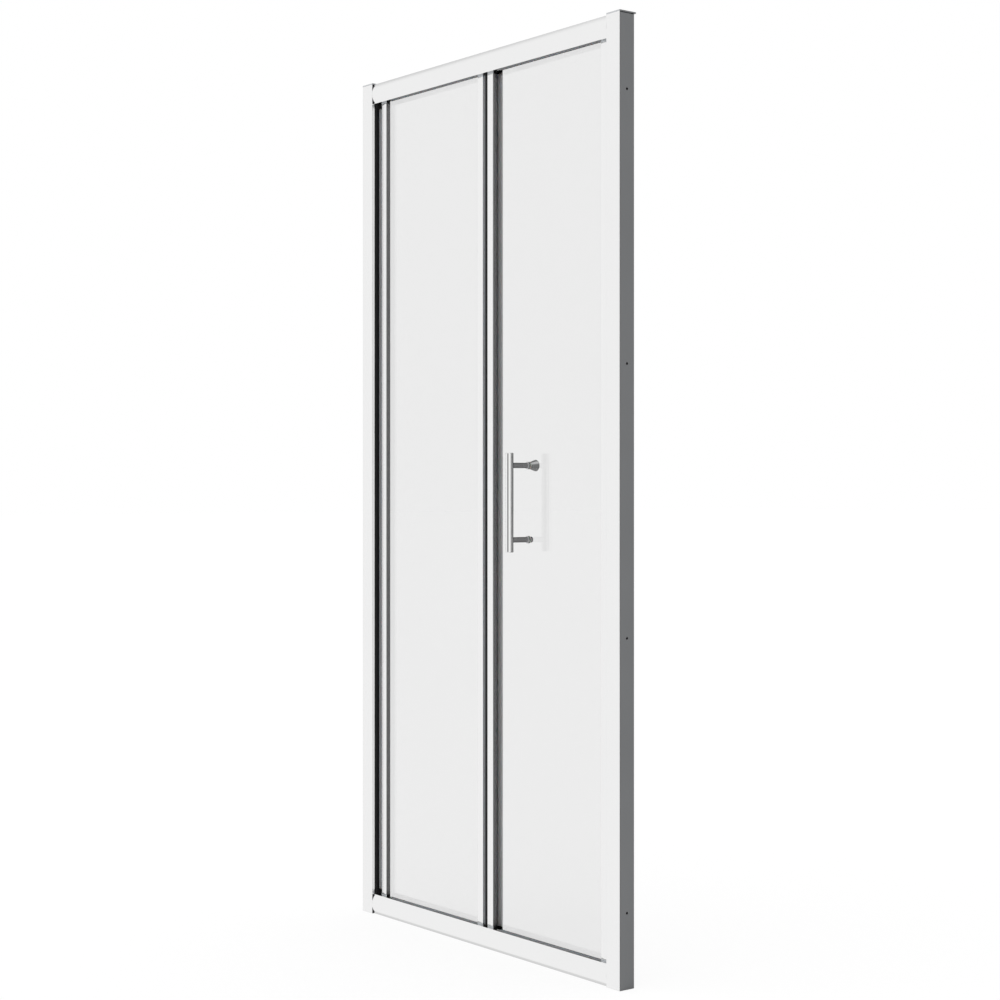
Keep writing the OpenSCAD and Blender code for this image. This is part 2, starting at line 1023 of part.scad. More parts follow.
module fold_gasket_rear() {
    stile_length()
        rect([stile_wall + 2, glass_back_d], [flange_w, flange_d]);
}

module left_front_gaskets() {
    color(grey_seal)
        in_frame() {
            stile_facing_right(pivot_stile_x)
                end_gasket_front();
            stile_facing_left(fold_left_x)
                fold_gasket_front();
        }
}

module right_front_gaskets() {
    color(grey_seal)
        in_frame() {
            stile_facing_right(fold_right_x)
                fold_gasket_front();
            stile_facing_left(guide_stile_x)
                end_gasket_front();
        }
}

module left_rear_gaskets() {
    color(grey_seal)
        in_frame() {
            stile_facing_right(pivot_stile_x)
                end_gasket_rear();
            stile_facing_left(fold_left_x)
                fold_gasket_rear();
        }
}

module right_rear_gaskets() {
    color(grey_seal)
        in_frame() {
            stile_facing_right(fold_right_x)
                fold_gasket_rear();
            stile_facing_left(guide_stile_x)
                end_gasket_rear();
        }
}

// The wiper on a pane's lower or upper edge
module edge_seal(x0, x1) {
    leg_z = glass_z0 + seal_leg;
    fin_z = rail_back_h + 0.4;
    box([x0, glass_d - seal_skin, panel_z0], [x1, glass_back_d + seal_skin, glass_z0]);
    box([x0, glass_d - seal_skin, panel_z0], [x1, glass_d, leg_z]);
    box([x0, glass_back_d, panel_z0], [x1, glass_back_d + seal_skin, leg_z]);
    box([x0, glass_d + glass_t / 2 - 0.7, fin_z], [x1, glass_d + glass_t / 2 + 0.7, panel_z0 + eps]);
}

module left_edge_seals() {
    color(grey_seal)
        in_frame()
            at_both_ends()
                edge_seal(pivot_stile_x + nose_w + rest_gap, fold_left_x - flange_w - rest_gap);
}

module right_edge_seals() {
    color(grey_seal)
        in_frame()
            at_both_ends()
                edge_seal(fold_right_x + flange_w + rest_gap, guide_stile_x - nose_w - rest_gap);
}

// ---- The fold hinge: a bead on the right panel in a socket on the left one ----

// A wedge from the bead's axis, from one angle to another
module wedge_2d(a0, a1) {
    reach = 4 * socket_r1;
    steps = 6;
    polygon(concat(
        [[0, 0]],
        [for (i = [0 : steps]) let (a = a0 + (a1 - a0) * i / steps) [reach * cos(a), reach * sin(a)]]
    ));
}

// The web, tongue and foot that hold a strip, drawn towards positive x
module strip_root_2d(x0) {
    wall_x = fold_gap / 2;
    foot_x = wall_x + stile_wall + 0.1;
    rect([x0, web_d0], [foot_x + strip_foot_t, web_d0 + web_t]);
    rect(
        [foot_x, web_d0 - strip_foot_over],
        [foot_x + strip_foot_t, web_d0 + web_t + strip_foot_over]
    );
}

module hinge_socket() {
    color(grey_seal)
        in_frame()
            translate([fold_x, fold_axis_d, 0])
                stile_length() {
                    intersection() {
                        difference() {
                            circle(socket_r1);
                            circle(socket_r0);
                        }
                        wedge_2d(neck_angle, 360 - 2 * fold_max - neck_angle);
                    }
                    mirror([1, 0, 0])
                        strip_root_2d(socket_r1 * 0.55);
                }
}

module hinge_bead() {
    wall_x = fold_gap / 2;
    color(black)
        in_frame()
            translate([fold_x, fold_axis_d, 0])
                stile_length() {
                    circle(bead_r);
                    rect([0, -neck_t / 2], [wall_x, neck_t / 2]);
                    rect([wall_x - plate_t, -neck_t / 2], [wall_x, web_d0 + web_t]);
                    strip_root_2d(wall_x - plate_t);
                }
}

module bead_end_discs() {
    color(black)
        in_frame()
            at_both_ends()
                translate([fold_x, fold_axis_d, stile_z0 - rest_gap - disc_h]) {
                    cylinder(h = disc_h, r = disc_r);
                    box([0, -0.4, 0], [fold_gap / 2, 2, disc_h]);
                }
}

// ---- Pins ----

module pivot_pins() {
    color(steel)
        in_frame()
            at_both_ends()
                translate([pivot_x, pivot_d, bore_floor + 1])
                    cylinder(h = stile_z0 + pin_sink - bore_floor - 1, r = pin_r);
}

// A guide pin with a head that holds the carriage or the shoe
module guide_pin(head_top) {
    translate([guide_x, pivot_d, head_top - pin_head_t])
        cylinder(h = pin_head_t, r = pin_head_r);
    translate([guide_x, pivot_d, head_top - eps])
        cylinder(h = stile_z0 + pin_sink - head_top + eps, r = pin_r);
}

shoe_z1 = ledge_z - rest_gap;
shoe_z0 = shoe_z1 - 6.5;

module guide_pins() {
    color(steel)
        in_frame() {
            guide_pin(shoe_z0 - rest_gap);
            at_head()
                guide_pin(carriage_z1 - carriage_h - rest_gap);
        }
}

// ---- Roller carriage and guide shoe ----

module carriage_block() {
    color(acetal)
        in_frame()
            at_head()
                difference() {
                    box(
                        [guide_x - carriage_l / 2, pivot_d - carriage_t / 2, carriage_z1 - carriage_h],
                        [guide_x + carriage_l / 2, pivot_d + carriage_t / 2, carriage_z1]
                    );
                    translate([guide_x, pivot_d, carriage_z1 - carriage_h - eps])
                        cylinder(h = carriage_h + 2 * eps, r = pin_r + run_gap);
                    for (side = [-1, 1])
                        rod_d(
                            pivot_d - carriage_t / 2 - eps,
                            pivot_d + carriage_t / 2 + eps,
                            guide_x + side * axle_pitch / 2,
                            wheel_z,
                            axle_r + run_gap
                        );
                }
}

module wheel_pair(x) {
    for (side = [-1, 1])
        difference() {
            rod_d(
                pivot_d + side * (wheel_in + wheel_out) / 2 - wheel_w / 2,
                pivot_d + side * (wheel_in + wheel_out) / 2 + wheel_w / 2,
                x,
                wheel_z,
                wheel_r
            );
            rod_d(pivot_d - 2 * wheel_out, pivot_d + 2 * wheel_out, x, wheel_z, axle_r + 0.02);
        }
}

// An axle with a head outside each wheel and a collar on each side of the carriage
module axle(x) {
    rod_d(pivot_d - wheel_out - axle_head_t, pivot_d + wheel_out + axle_head_t, x, wheel_z, axle_r);
    for (side = [-1, 1])
        rod_d(
            pivot_d + side * (wheel_out + axle_head_t / 2) - axle_head_t / 2,
            pivot_d + side * (wheel_out + axle_head_t / 2) + axle_head_t / 2,
            x,
            wheel_z,
            axle_head_r
        );
}

module wheels_left() {
    color(acetal)
        in_frame()
            at_head()
                wheel_pair(guide_x - axle_pitch / 2);
}

module wheels_right() {
    color(acetal)
        in_frame()
            at_head()
                wheel_pair(guide_x + axle_pitch / 2);
}

module axle_left() {
    color(steel)
        in_frame()
            at_head()
                axle(guide_x - axle_pitch / 2);
}

module axle_right() {
    color(steel)
        in_frame()
            at_head()
                axle(guide_x + axle_pitch / 2);
}

module guide_shoe() {
    neck_w = slot_w - 2 * slot_play;
    color(acetal)
        in_frame()
            difference() {
                union() {
                    box(
                        [guide_x - shoe_l / 2, pivot_d - shoe_w / 2, shoe_z0],
                        [guide_x + shoe_l / 2, pivot_d + shoe_w / 2, shoe_z1]
                    );
                    box(
                        [guide_x - shoe_l / 2, pivot_d - neck_w / 2, shoe_z1 - eps],
                        [guide_x + shoe_l / 2, pivot_d + neck_w / 2, panel_z0 - 0.8]
                    );
                }
                translate([guide_x, pivot_d, shoe_z0 - eps])
                    cylinder(h = panel_z0, r = pin_r + run_gap);
            }
}

// ---- Handle ----

module at_posts() {
    for (side = [-1, 1])
        translate([handle_at, 0, handle_z + side * post_pitch / 2])
            children();
}

module handle_bar() {
    color(chrome)
        in_frame()
            translate([handle_at, bar_d, handle_z - bar_l / 2]) {
                cylinder(h = bar_edge, r1 = bar_r - bar_edge, r2 = bar_r);
                translate([0, 0, bar_edge])
                    cylinder(h = bar_l - 2 * bar_edge, r = bar_r);
                translate([0, 0, bar_l - bar_edge])
                    cylinder(h = bar_edge, r1 = bar_r, r2 = bar_r - bar_edge);
            }
}

module handle_posts() {
    color(chrome)
        in_frame()
            at_posts()
                difference() {
                    rod_d(bar_d, glass_d - collar_t, 0, 0, post_r);
                    translate([0, bar_d, -2 * post_r])
                        cylinder(h = 4 * post_r, r = bar_r + 0.03);
                    rod_d(glass_d - collar_t - stud_in_post - 1, glass_d, 0, 0, stud_r + stud_play);
                }
}

module front_collars() {
    color(chrome)
        in_frame()
            at_posts()
                difference() {
                    rod_d(glass_d - collar_t, glass_d, 0, 0, collar_r);
                    rod_d(glass_d - collar_t - eps, glass_d + eps, 0, 0, stud_r + stud_play);
                }
}

module handle_studs() {
    color(steel)
        in_frame()
            at_posts()
                rod_d(glass_d - collar_t - stud_in_post, glass_back_d + washer_t + 3, 0, 0, stud_r);
}

module glass_bushes() {
    color(acetal)
        in_frame()
            at_posts()
                difference() {
                    rod_d(glass_d, glass_back_d, 0, 0, bush_r);
                    rod_d(glass_d - eps, glass_back_d + eps, 0, 0, stud_r + stud_play);
                }
}

module rear_washers() {
    color(acetal)
        in_frame()
            at_posts()
                difference() {
                    rod_d(glass_back_d, glass_back_d + washer_t, 0, 0, collar_r);
                    rod_d(glass_back_d - eps, glass_back_d + washer_t + eps, 0, 0, stud_r + stud_play);
                }
}

// Cuts the blind hole that a stud screws into
module stud_socket() {
    rod_d(glass_back_d, glass_back_d + washer_t + 3.2, 0, 0, stud_r + stud_play);
}

module inner_knob() {
    d0 = glass_back_d + washer_t;
    color(chrome)
        in_frame()
            translate([handle_at, 0, handle_z + post_pitch / 2])
                difference() {
                    union() {
                        rod_d(d0, d0 + knob_cone, 0, 0, knob_r0, knob_r1);
                        rod_d(d0 + knob_cone, d0 + knob_cone + knob_end / 2, 0, 0, knob_r1, knob_r1 - 0.8);
                        rod_d(
                            d0 + knob_cone + knob_end / 2,
                            d0 + knob_cone + knob_end,
                            0,
                            0,
                            knob_r1 - 0.8,
                            knob_r1 - 3.2
                        );
                    }
                    stud_socket();
                }
}

module cap_nut() {
    d0 = glass_back_d + washer_t;
    color(chrome)
        in_frame()
            translate([handle_at, 0, handle_z - post_pitch / 2])
                difference() {
                    union() {
                        rod_d(d0, d0 + nut_t - 1, 0, 0, nut_r);
                        rod_d(d0 + nut_t - 1, d0 + nut_t, 0, 0, nut_r, nut_r - 1);
                    }
                    stud_socket();
                }
}

jamb_left();
jamb_right();
wall_channel_left();
wall_channel_right();
head_rail();
sill_rail();
jamb_caps();
corner_screws();
adjust_screws();
screw_covers();
jamb_seal();
strike_magnet();
pivot_bracket_top();
pivot_bracket_bottom();
bracket_screws();
washer_top();
washer_bottom();
fold_stop();
stop_buffer();
stop_screw();
left_glass();
pivot_stile();
fold_stile_left();
pivot_stile_plugs();
fold_plugs_left();
left_cap_covers();
pivot_pins();
pivot_wiper();
left_front_gaskets();
left_rear_gaskets();
left_edge_seals();
hinge_socket();
right_glass();
fold_stile_right();
guide_stile();
guide_stile_plugs();
fold_plugs_right();
right_cap_covers();
guide_pins();
right_front_gaskets();
right_rear_gaskets();
right_edge_seals();
hinge_bead();
bead_end_discs();
panel_magnet();
handle_bar();
handle_posts();
front_collars();
handle_studs();
glass_bushes();
rear_washers();
inner_knob();
cap_nut();
carriage_block();
wheels_left();
axle_left();
wheels_right();
axle_right();
guide_shoe();
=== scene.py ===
import json
import math

import bmesh
import bpy
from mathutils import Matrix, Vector


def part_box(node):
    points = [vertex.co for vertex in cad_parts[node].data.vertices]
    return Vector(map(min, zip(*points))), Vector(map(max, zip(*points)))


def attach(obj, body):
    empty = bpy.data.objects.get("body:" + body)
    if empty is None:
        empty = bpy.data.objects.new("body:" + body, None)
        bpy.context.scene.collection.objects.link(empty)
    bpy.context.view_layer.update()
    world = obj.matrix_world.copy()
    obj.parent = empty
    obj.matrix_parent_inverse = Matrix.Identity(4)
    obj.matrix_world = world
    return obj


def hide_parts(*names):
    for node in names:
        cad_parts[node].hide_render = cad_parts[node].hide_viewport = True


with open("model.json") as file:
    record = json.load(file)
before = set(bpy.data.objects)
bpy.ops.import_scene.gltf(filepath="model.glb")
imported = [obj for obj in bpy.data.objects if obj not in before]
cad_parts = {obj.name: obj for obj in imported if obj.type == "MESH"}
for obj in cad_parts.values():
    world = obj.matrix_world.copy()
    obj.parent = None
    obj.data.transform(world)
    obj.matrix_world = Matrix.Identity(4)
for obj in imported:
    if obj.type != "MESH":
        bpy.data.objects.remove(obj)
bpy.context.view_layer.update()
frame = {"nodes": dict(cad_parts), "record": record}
cadNodes = frame["nodes"]
mm = 0.001
print("scene: frame loaded,", len(cadNodes), "CAD nodes")


def linear(hexColour):
    channels = []
    for i in (1, 3, 5):
        c = int(hexColour[i:i + 2], 16) / 255
        channels.append(c / 12.92 if c <= 0.04045 else ((c + 0.055) / 1.055) ** 2.4)
    return (channels[0], channels[1], channels[2], 1.0)


def addNode(tree, kind, settings=None, inputs=None):
    # An input is given a constant, the socket that feeds it, or a list of such sockets
    node = tree.nodes.new(kind)
    for name, value in (settings or {}).items():
        setattr(node, name, value)
    for key, given in (inputs or {}).items():
        for source in given if isinstance(given, list) else [given]:
            if isinstance(source, bpy.types.NodeSocket):
                tree.links.new(source, node.inputs[key])
            else:
                node.inputs[key].default_value = source
    return node


def paintRailEndShade(tree, place, bare, pad):
    # Painted shade: a black matt band on a jamb's inner side, as high as the rail that ends
    # against it, for the shadow in the joint
    along = addNode(tree, "ShaderNodeSeparateXYZ", None, {"Vector": place})
    sideways = addNode(tree, "ShaderNodeMath", {"operation": "ABSOLUTE"}, {0: along.outputs["X"]})
    inside = addNode(tree, "ShaderNodeMath", {"operation": "LESS_THAN"}, {
        0: sideways.outputs[0],
        1: pad["innerMm"] * mm,
    })
    fromMiddle = addNode(tree, "ShaderNodeMath", {"operation": "SUBTRACT"}, {
        0: along.outputs["Z"],
        1: pad["middleMm"] * mm,
    })
    upOrDown = addNode(tree, "ShaderNodeMath", {"operation": "ABSOLUTE"}, {
        0: fromMiddle.outputs[0],
    })
    atRail = addNode(tree, "ShaderNodeMath", {"operation": "GREATER_THAN"}, {
        0: upOrDown.outputs[0],
        1: (pad["middleMm"] - pad["highMm"]) * mm,
    })
    shadeMask = addNode(tree, "ShaderNodeMath", {"operation": "MULTIPLY"}, {
        0: inside.outputs[0],
        1: atRail.outputs[0],
    })
    matt = addNode(tree, "ShaderNodeBsdfPrincipled", None, {
        "Base Color": linear(pad["colour"]),
        "Roughness": pad["rough"],
        "Specular IOR Level": pad["sheen"],
    })
    chosen = addNode(tree, "ShaderNodeMixShader", None, {
        0: shadeMask.outputs[0],
        1: bare,
        2: matt.outputs["BSDF"],
    })
    return chosen.outputs["Shader"]


usualLooks = {
    "toneDetail": 2.0, "grainKind": "ShaderNodeTexNoise", "grainDetail": 3.0,
    "reliefStrength": 0.25,
}


def surface(name, ownLooks):
    # The tone drifts between two colours; the grain moves the roughness and the relief.
    # Both patterns lie in object coordinates, with their scale in waves to the metre.
    looks = {**usualLooks, **ownLooks}
    material = bpy.data.materials.new(name)
    material.use_nodes = True
    tree = material.node_tree
    tree.nodes.clear()
    place = addNode(tree, "ShaderNodeTexCoord")
    toneSpace = addNode(tree, "ShaderNodeMapping", None, {
        "Vector": place.outputs["Object"],
        "Scale": looks["tonePerMetre"],
    })
    tone = addNode(tree, "ShaderNodeTexNoise", None, {
        "Vector": toneSpace.outputs["Vector"],
        "Scale": 1.0,
        "Detail": looks["toneDetail"],
    })
    grainSpace = addNode(tree, "ShaderNodeMapping", None, {
        "Vector": place.outputs["Object"],
        "Scale": looks["grainPerMetre"],
    })
    grain = addNode(tree, looks["grainKind"], None, {
        "Vector": grainSpace.outputs["Vector"],
        "Scale": 1.0,
        "Detail": looks["grainDetail"],
    })
    colour = addNode(tree, "ShaderNodeMix", {"data_type": "RGBA"}, {
        0: tone.outputs[0],
        6: linear(looks["colour"]),
        7: linear(looks["shade"]),
    })
    roughness = addNode(tree, "ShaderNodeMapRange", None, {
        "Value": grain.outputs[0],
        "To Min": looks["smooth"],
        "To Max": looks["rough"],
    })
    relief = addNode(tree, "ShaderNodeBump", None, {
        "Height": grain.outputs[0],
        "Strength": looks["reliefStrength"],
        "Distance": looks["reliefMm"] * mm,
    })
    shader = addNode(tree, "ShaderNodeBsdfPrincipled", None, {
        "Base Color": colour.outputs[2],
        "Roughness": roughness.outputs["Result"],
        "Normal": relief.outputs["Normal"],
    })
    for key, value in looks["shader"].items():
        shader.inputs[key].default_value = value
    seen = shader.outputs["BSDF"]
    # Painted shade where a rail ends against the jamb
    if "pad" in looks:
        seen = paintRailEndShade(tree, place.outputs["Object"], seen, looks["pad"])
    addNode(tree, "ShaderNodeOutputMaterial", None, {"Surface": seen})
    return material


metal = {"Metallic": 1.0}

# Pressed through a die, polished and anodised: bright, with fine lines along its length.
# The real lines are 0.05 mm apart; they are drawn at 0.35 mm, so that they show.
uprightMetal = {
    "colour": "#EFEFEF", "shade": "#EDEDED", "tonePerMetre": (6, 6, 6),
    "grainPerMetre": (2800, 2800, 9), "reliefMm": 0.01, "smooth": 0.13, "rough": 0.2,
    "shader": metal,
}
materialLooks = {
    "bright anodised aluminium, upright": uprightMetal,
    "bright anodised aluminium, level": dict(uprightMetal, grainPerMetre=(9, 2800, 2800)),
    # Painted shade: the jambs are black on their inner sides at each rail's end, for the shadow
    # in the joint, which shows as a thin arc
    "bright anodised aluminium, with pads": dict(uprightMetal, pad={
        "innerMm": 401.1, "middleMm": 925.0, "highMm": 43.0,
        "colour": "#1B1B1D", "rough": 0.8, "sheen": 0.1,
    }),
    # Painted shade: a darker copy of the bright aluminium for the stiles' sides beside the glass
    "grey anodised aluminium": dict(uprightMetal, colour="#A6A6A7", shade="#A1A1A2"),
    # As it leaves the press: greyer and duller
    "mill-finish aluminium": dict(
        uprightMetal, colour="#C9CBCD", shade="#BEC0C2", smooth=0.3, rough=0.42,
    ),
    # Nickel and chromium on brass: mirror-like, with faint hand marks
    "polished chrome plate": {
        "colour": "#EFEFEF", "shade": "#EAEAEA", "tonePerMetre": (160, 160, 160),
        "grainPerMetre": (160, 160, 160), "reliefMm": 0.0, "smooth": 0.03, "rough": 0.09,
        "shader": metal,
    },
    # Painted shade: a darker copy of the chrome plate for the turned pieces, for the shaded room
    # behind the door that they mirror
    "smoked chrome plate": {
        "colour": "#BEBEBF", "shade": "#B8B8B9", "tonePerMetre": (160, 160, 160),
        "grainPerMetre": (160, 160, 160), "reliefMm": 0.0, "smooth": 0.05, "rough": 0.12,
        "shader": metal,
    },
    # Turned and rolled: a little grey, with fine tool marks
    "turned stainless steel": {
        "colour": "#C8C9CB", "shade": "#B4B6B9", "tonePerMetre": (90, 90, 90),
        "grainPerMetre": (1400, 1400, 1400), "reliefMm": 0.02, "smooth": 0.2, "rough": 0.36,
        "shader": metal,
    },
    # A zinc casting under silver lacquer: metal flakes in the coat, duller than the jamb
    "silver-lacquered zinc": {
        "colour": "#CDCFD1", "shade": "#C3C5C8", "tonePerMetre": (60, 60, 60),
        "grainPerMetre": (2500, 2500, 2500), "grainKind": "ShaderNodeTexVoronoi",
        "grainDetail": 0.0, "reliefMm": 0.01, "smooth": 0.22, "rough": 0.34,
        "shader": metal,
    },
    # Float glass, reheated on rollers: clear, with a very slight wave across its height
    "toughened clear glass": {
        "colour": "#EBEBEB", "shade": "#EAEAEA", "tonePerMetre": (2, 2, 2),
        "grainPerMetre": (1.2, 1.2, 4), "grainDetail": 1.0, "reliefMm": 0.2,
        "reliefStrength": 0.08, "smooth": 0.0, "rough": 0.0,
        "shader": {"Transmission Weight": 1.0, "IOR": 1.52},
    },
    # The pane's ground rim, where the iron in the glass shows green
    "ground glass edge": {
        "colour": "#B9D3CB", "shade": "#A5C4BB", "tonePerMetre": (40, 40, 40),
        "grainPerMetre": (900, 900, 900), "reliefMm": 0.02, "smooth": 0.18, "rough": 0.32,
        "shader": {"Transmission Weight": 0.75, "IOR": 1.52},
    },
    # Black, with the soft sheen and fine grain of a moulding
    "moulded black nylon": {
        "colour": "#121213", "shade": "#18181A", "tonePerMetre": (40, 40, 40),
        "grainPerMetre": (1700, 1700, 1700), "reliefMm": 0.03, "smooth": 0.38, "rough": 0.52,
        "shader": {"IOR": 1.53, "Specular IOR Level": 0.3},
    },
    # The same nylon with less dye, for the strip that shows in the fold
    "moulded dark grey nylon": {
        "colour": "#444548", "shade": "#4B4C4F", "tonePerMetre": (40, 40, 40),
        "grainPerMetre": (1700, 1700, 1700), "reliefMm": 0.03, "smooth": 0.38, "rough": 0.52,
        "shader": {"IOR": 1.53},
    },
    # Deeper black and matt
    "extruded rubber": {
        "colour": "#0D0D0E", "shade": "#151516", "tonePerMetre": (40, 40, 40),
        "grainPerMetre": (1250, 1250, 1250), "reliefMm": 0.04, "smooth": 0.5, "rough": 0.68,
        "shader": {"IOR": 1.52, "Specular IOR Level": 0.2},
    },
    # Slightly waxy grey
    "soft grey PVC": {
        "colour": "#B8BBBF", "shade": "#B2B5B9", "tonePerMetre": (40, 40, 40),
        "grainPerMetre": (830, 830, 830), "reliefMm": 0.02, "smooth": 0.3, "rough": 0.42,
        "shader": {"IOR": 1.53, "Subsurface Weight": 0.15, "Subsurface Scale": 0.001},
    },
    # Painted light: the same PVC made paler for the ribbed strips behind the glass, against the
    # stiles' shade on them
    "soft pale PVC": {
        "colour": "#CBCBCC", "shade": "#C5C5C6", "tonePerMetre": (40, 40, 40),
        "grainPerMetre": (830, 830, 830), "reliefMm": 0.02, "smooth": 0.3, "rough": 0.42,
        "shader": {"IOR": 1.53, "Subsurface Weight": 0.15, "Subsurface Scale": 0.001},
    },
    # Light grey with metal flake in the plastic
    "silver-grey ABS": {
        "colour": "#E4E8EB", "shade": "#DFE3E7", "tonePerMetre": (40, 40, 40),
        "grainPerMetre": (1430, 1430, 1430), "reliefMm": 0.02, "smooth": 0.24, "rough": 0.34,
        "shader": {"IOR": 1.54, "Metallic": 0.15},
    },
    # Milky white, and light enters it a little
    "turned white acetal": {
        "colour": "#E7E6E0", "shade": "#DEDCD4", "tonePerMetre": (40, 40, 40),
        "grainPerMetre": (2000, 2000, 2000), "reliefMm": 0.02, "smooth": 0.28, "rough": 0.4,
        "shader": {"IOR": 1.48, "Subsurface Weight": 0.12, "Subsurface Scale": 0.001},
    },
}
finishes = {name: surface(name, looks) for name, looks in materialLooks.items()}
slotFinishes = {
    "polished_aluminium": finishes["bright anodised aluminium, upright"],
    "mill_aluminium": finishes["mill-finish aluminium"],
    "toughened_glass": finishes["toughened clear glass"],
    "chrome": finishes["polished chrome plate"],
    "stainless": finishes["turned stainless steel"],
    "black_nylon": finishes["moulded black nylon"],
    "black_epdm": finishes["extruded rubber"],
    "grey_pvc": finishes["soft grey PVC"],
    "cap_plastic": finishes["silver-lacquered zinc"],
    "cover_plastic": finishes["silver-grey ABS"],
    "acetal": finishes["turned white acetal"],
}
nodeSlots = {part["node"]: part["material_slot"] for part in frame["record"]["subparts"]}
nodeBodies = {}
for bodyName, bodyNodes in frame["record"]["behaviour"]["bodies"].items():
    for nodeName in bodyNodes:
        nodeBodies[nodeName] = bodyName
nodeFinishes = {nodeName: slotFinishes[nodeSlots[nodeName]] for nodeName in cadNodes}
# Nodes with another finish than the rest of their slot
ownFinishes = {
    "bright anodised aluminium, level": ("head_rail", "sill_rail"),
    "bright anodised aluminium, with pads": ("jamb_left", "jamb_right"),
    "smoked chrome plate": ("handle_posts", "front_collars", "inner_knob", "cap_nut"),
    "moulded dark grey nylon": ("hinge_bead",),
}
for finishName, nodeNames in ownFinishes.items():
    for nodeName in nodeNames:
        nodeFinishes[nodeName] = finishes[finishName]
for nodeName, cadObject in cadNodes.items():
    for entry in cadObject.material_slots:
        entry.material = nodeFinishes[nodeName]
print("scene: materials on the CAD nodes")


# Corners nearer than this are one, and faces that turn by less than this are one face
weldMm = 0.002
flatDegrees = 0.3


def mergedCopy(nodeName, pieceName):
    # A copy of a node's mesh, with its split corners joined and its flat faces whole
    mesh = cadNodes[nodeName].data.copy()
    mesh.name = pieceName
    for attribute in ("custom_normal", "sharp_edge", "sharp_face"):
        if attribute in mesh.attributes:
            mesh.attributes.remove(mesh.attributes[attribute])
    work = bmesh.new()
    work.from_mesh(mesh)
    bmesh.ops.remove_doubles(work, verts=work.verts, dist=weldMm * mm)
    bmesh.ops.dissolve_limit(
        work, angle_limit=math.radians(flatDegrees), verts=work.verts, edges=work.edges,
        use_dissolve_boundaries=False,
    )
    for face in work.faces:
        face.smooth = True
    work.to_mesh(mesh)
    work.free()
    piece = bpy.data.objects.new(pieceName, mesh)
    bpy.context.scene.collection.objects.link(piece)
    return piece


def settle(piece):
    # Turns a piece and its modifiers into one plain mesh
    bpy.context.view_layer.update()
    evaluated = piece.evaluated_get(bpy.context.evaluated_depsgraph_get())
    mesh = bpy.data.meshes.new_from_object(evaluated)
    mesh.name = piece.name
    old = piece.data
    piece.modifiers.clear()
    piece.data = mesh
    if old.users == 0:
        bpy.data.meshes.remove(old)


def standIn(piece, nodeName):
    # The piece is shown in place of its CAD node and moves with the node's body
    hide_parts(nodeName)
    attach(piece, nodeBodies[nodeName])


# How round the edges of each piece are; those that turn by more than "angle" are rounded.
# The faces that look the way given for the side in shade, towards the glass, get the darker
# aluminium of painted shade.
# From the given point to the right, the bead's front is painted black: painted shade in the fold
# beside the right stile.
usualSoftLooks = {"steps": 2, "angle": 32}
shadedFacing = 0.9
softLooks = {
    "jamb_left": {"edgeMm": 0.2},
    "jamb_right": {"edgeMm": 0.2},
    "head_rail": {"edgeMm": 0.25},
    "sill_rail": {"edgeMm": 0.25},
    "pivot_stile": {"edgeMm": 0.2, "greySide": 1},
    "fold_stile_left": {"edgeMm": 0.2, "greySide": -1},
    "fold_stile_right": {"edgeMm": 0.2, "greySide": 1},
    "guide_stile": {"edgeMm": 0.2, "greySide": -1},
    "jamb_caps": {"edgeMm": 0.6, "steps": 3},
    "pivot_bracket_top": {"edgeMm": 0.4},
    "pivot_bracket_bottom": {"edgeMm": 0.4},
    "pivot_stile_plugs": {"edgeMm": 0.25},
    "fold_plugs_left": {"edgeMm": 0.25},
    "fold_plugs_right": {"edgeMm": 0.25},
    "guide_stile_plugs": {"edgeMm": 0.25},
    "left_cap_covers": {"edgeMm": 0.3},
    "right_cap_covers": {"edgeMm": 0.3},
    "bead_end_discs": {"edgeMm": 0.3},
    "fold_stop": {"edgeMm": 0.5},
    "stop_buffer": {"edgeMm": 0.8, "steps": 3},
    "carriage_block": {"edgeMm": 0.6, "steps": 3},
    "guide_shoe": {"edgeMm": 0.5, "steps": 3},
    "jamb_seal": {"edgeMm": 0.15},
    "hinge_bead": {"edgeMm": 0.1, "blackFromMm": -0.7},
    "handle_bar": {"edgeMm": 0.25, "steps": 3},
    "handle_posts": {"edgeMm": 0.12},
    "front_collars": {"edgeMm": 0.6, "steps": 4},
    "inner_knob": {"edgeMm": 0.5, "steps": 4, "angle": 20},
    "cap_nut": {"edgeMm": 0.5, "steps": 4, "angle": 20},
}
for nodeName, ownLooks in softLooks.items():
    looks = {**usualSoftLooks, **ownLooks}
    piece = mergedCopy(nodeName, nodeName + "_soft")
    piece.data.materials.clear()
    piece.data.materials.append(nodeFinishes[nodeName])
    edge = piece.modifiers.new("softEdge", "BEVEL")
    edge.width = looks["edgeMm"] * mm
    edge.segments = looks["steps"]
    edge.limit_method = "ANGLE"
    edge.angle_limit = math.radians(looks["angle"])
    edge.harden_normals = True
    settle(piece)
    # Painted shade on the stiles' sides towards the glass
    if "greySide" in looks:
        piece.data.materials.append(finishes["grey anodised aluminium"])
        for polygon in piece.data.polygons:
            if polygon.normal.x * looks["greySide"] > shadedFacing:
                polygon.material_index = 1
    # Painted shade: the bead's front beside the right stile is black nylon
    if "blackFromMm" in looks:
        piece.data.materials.append(finishes["moulded black nylon"])
        for polygon in piece.data.polygons:
            if polygon.normal.y < 0 and polygon.center.x > looks["blackFromMm"] * mm:
                polygon.material_index = 1
    standIn(piece, nodeName)
print("scene: pieces with soft edges")
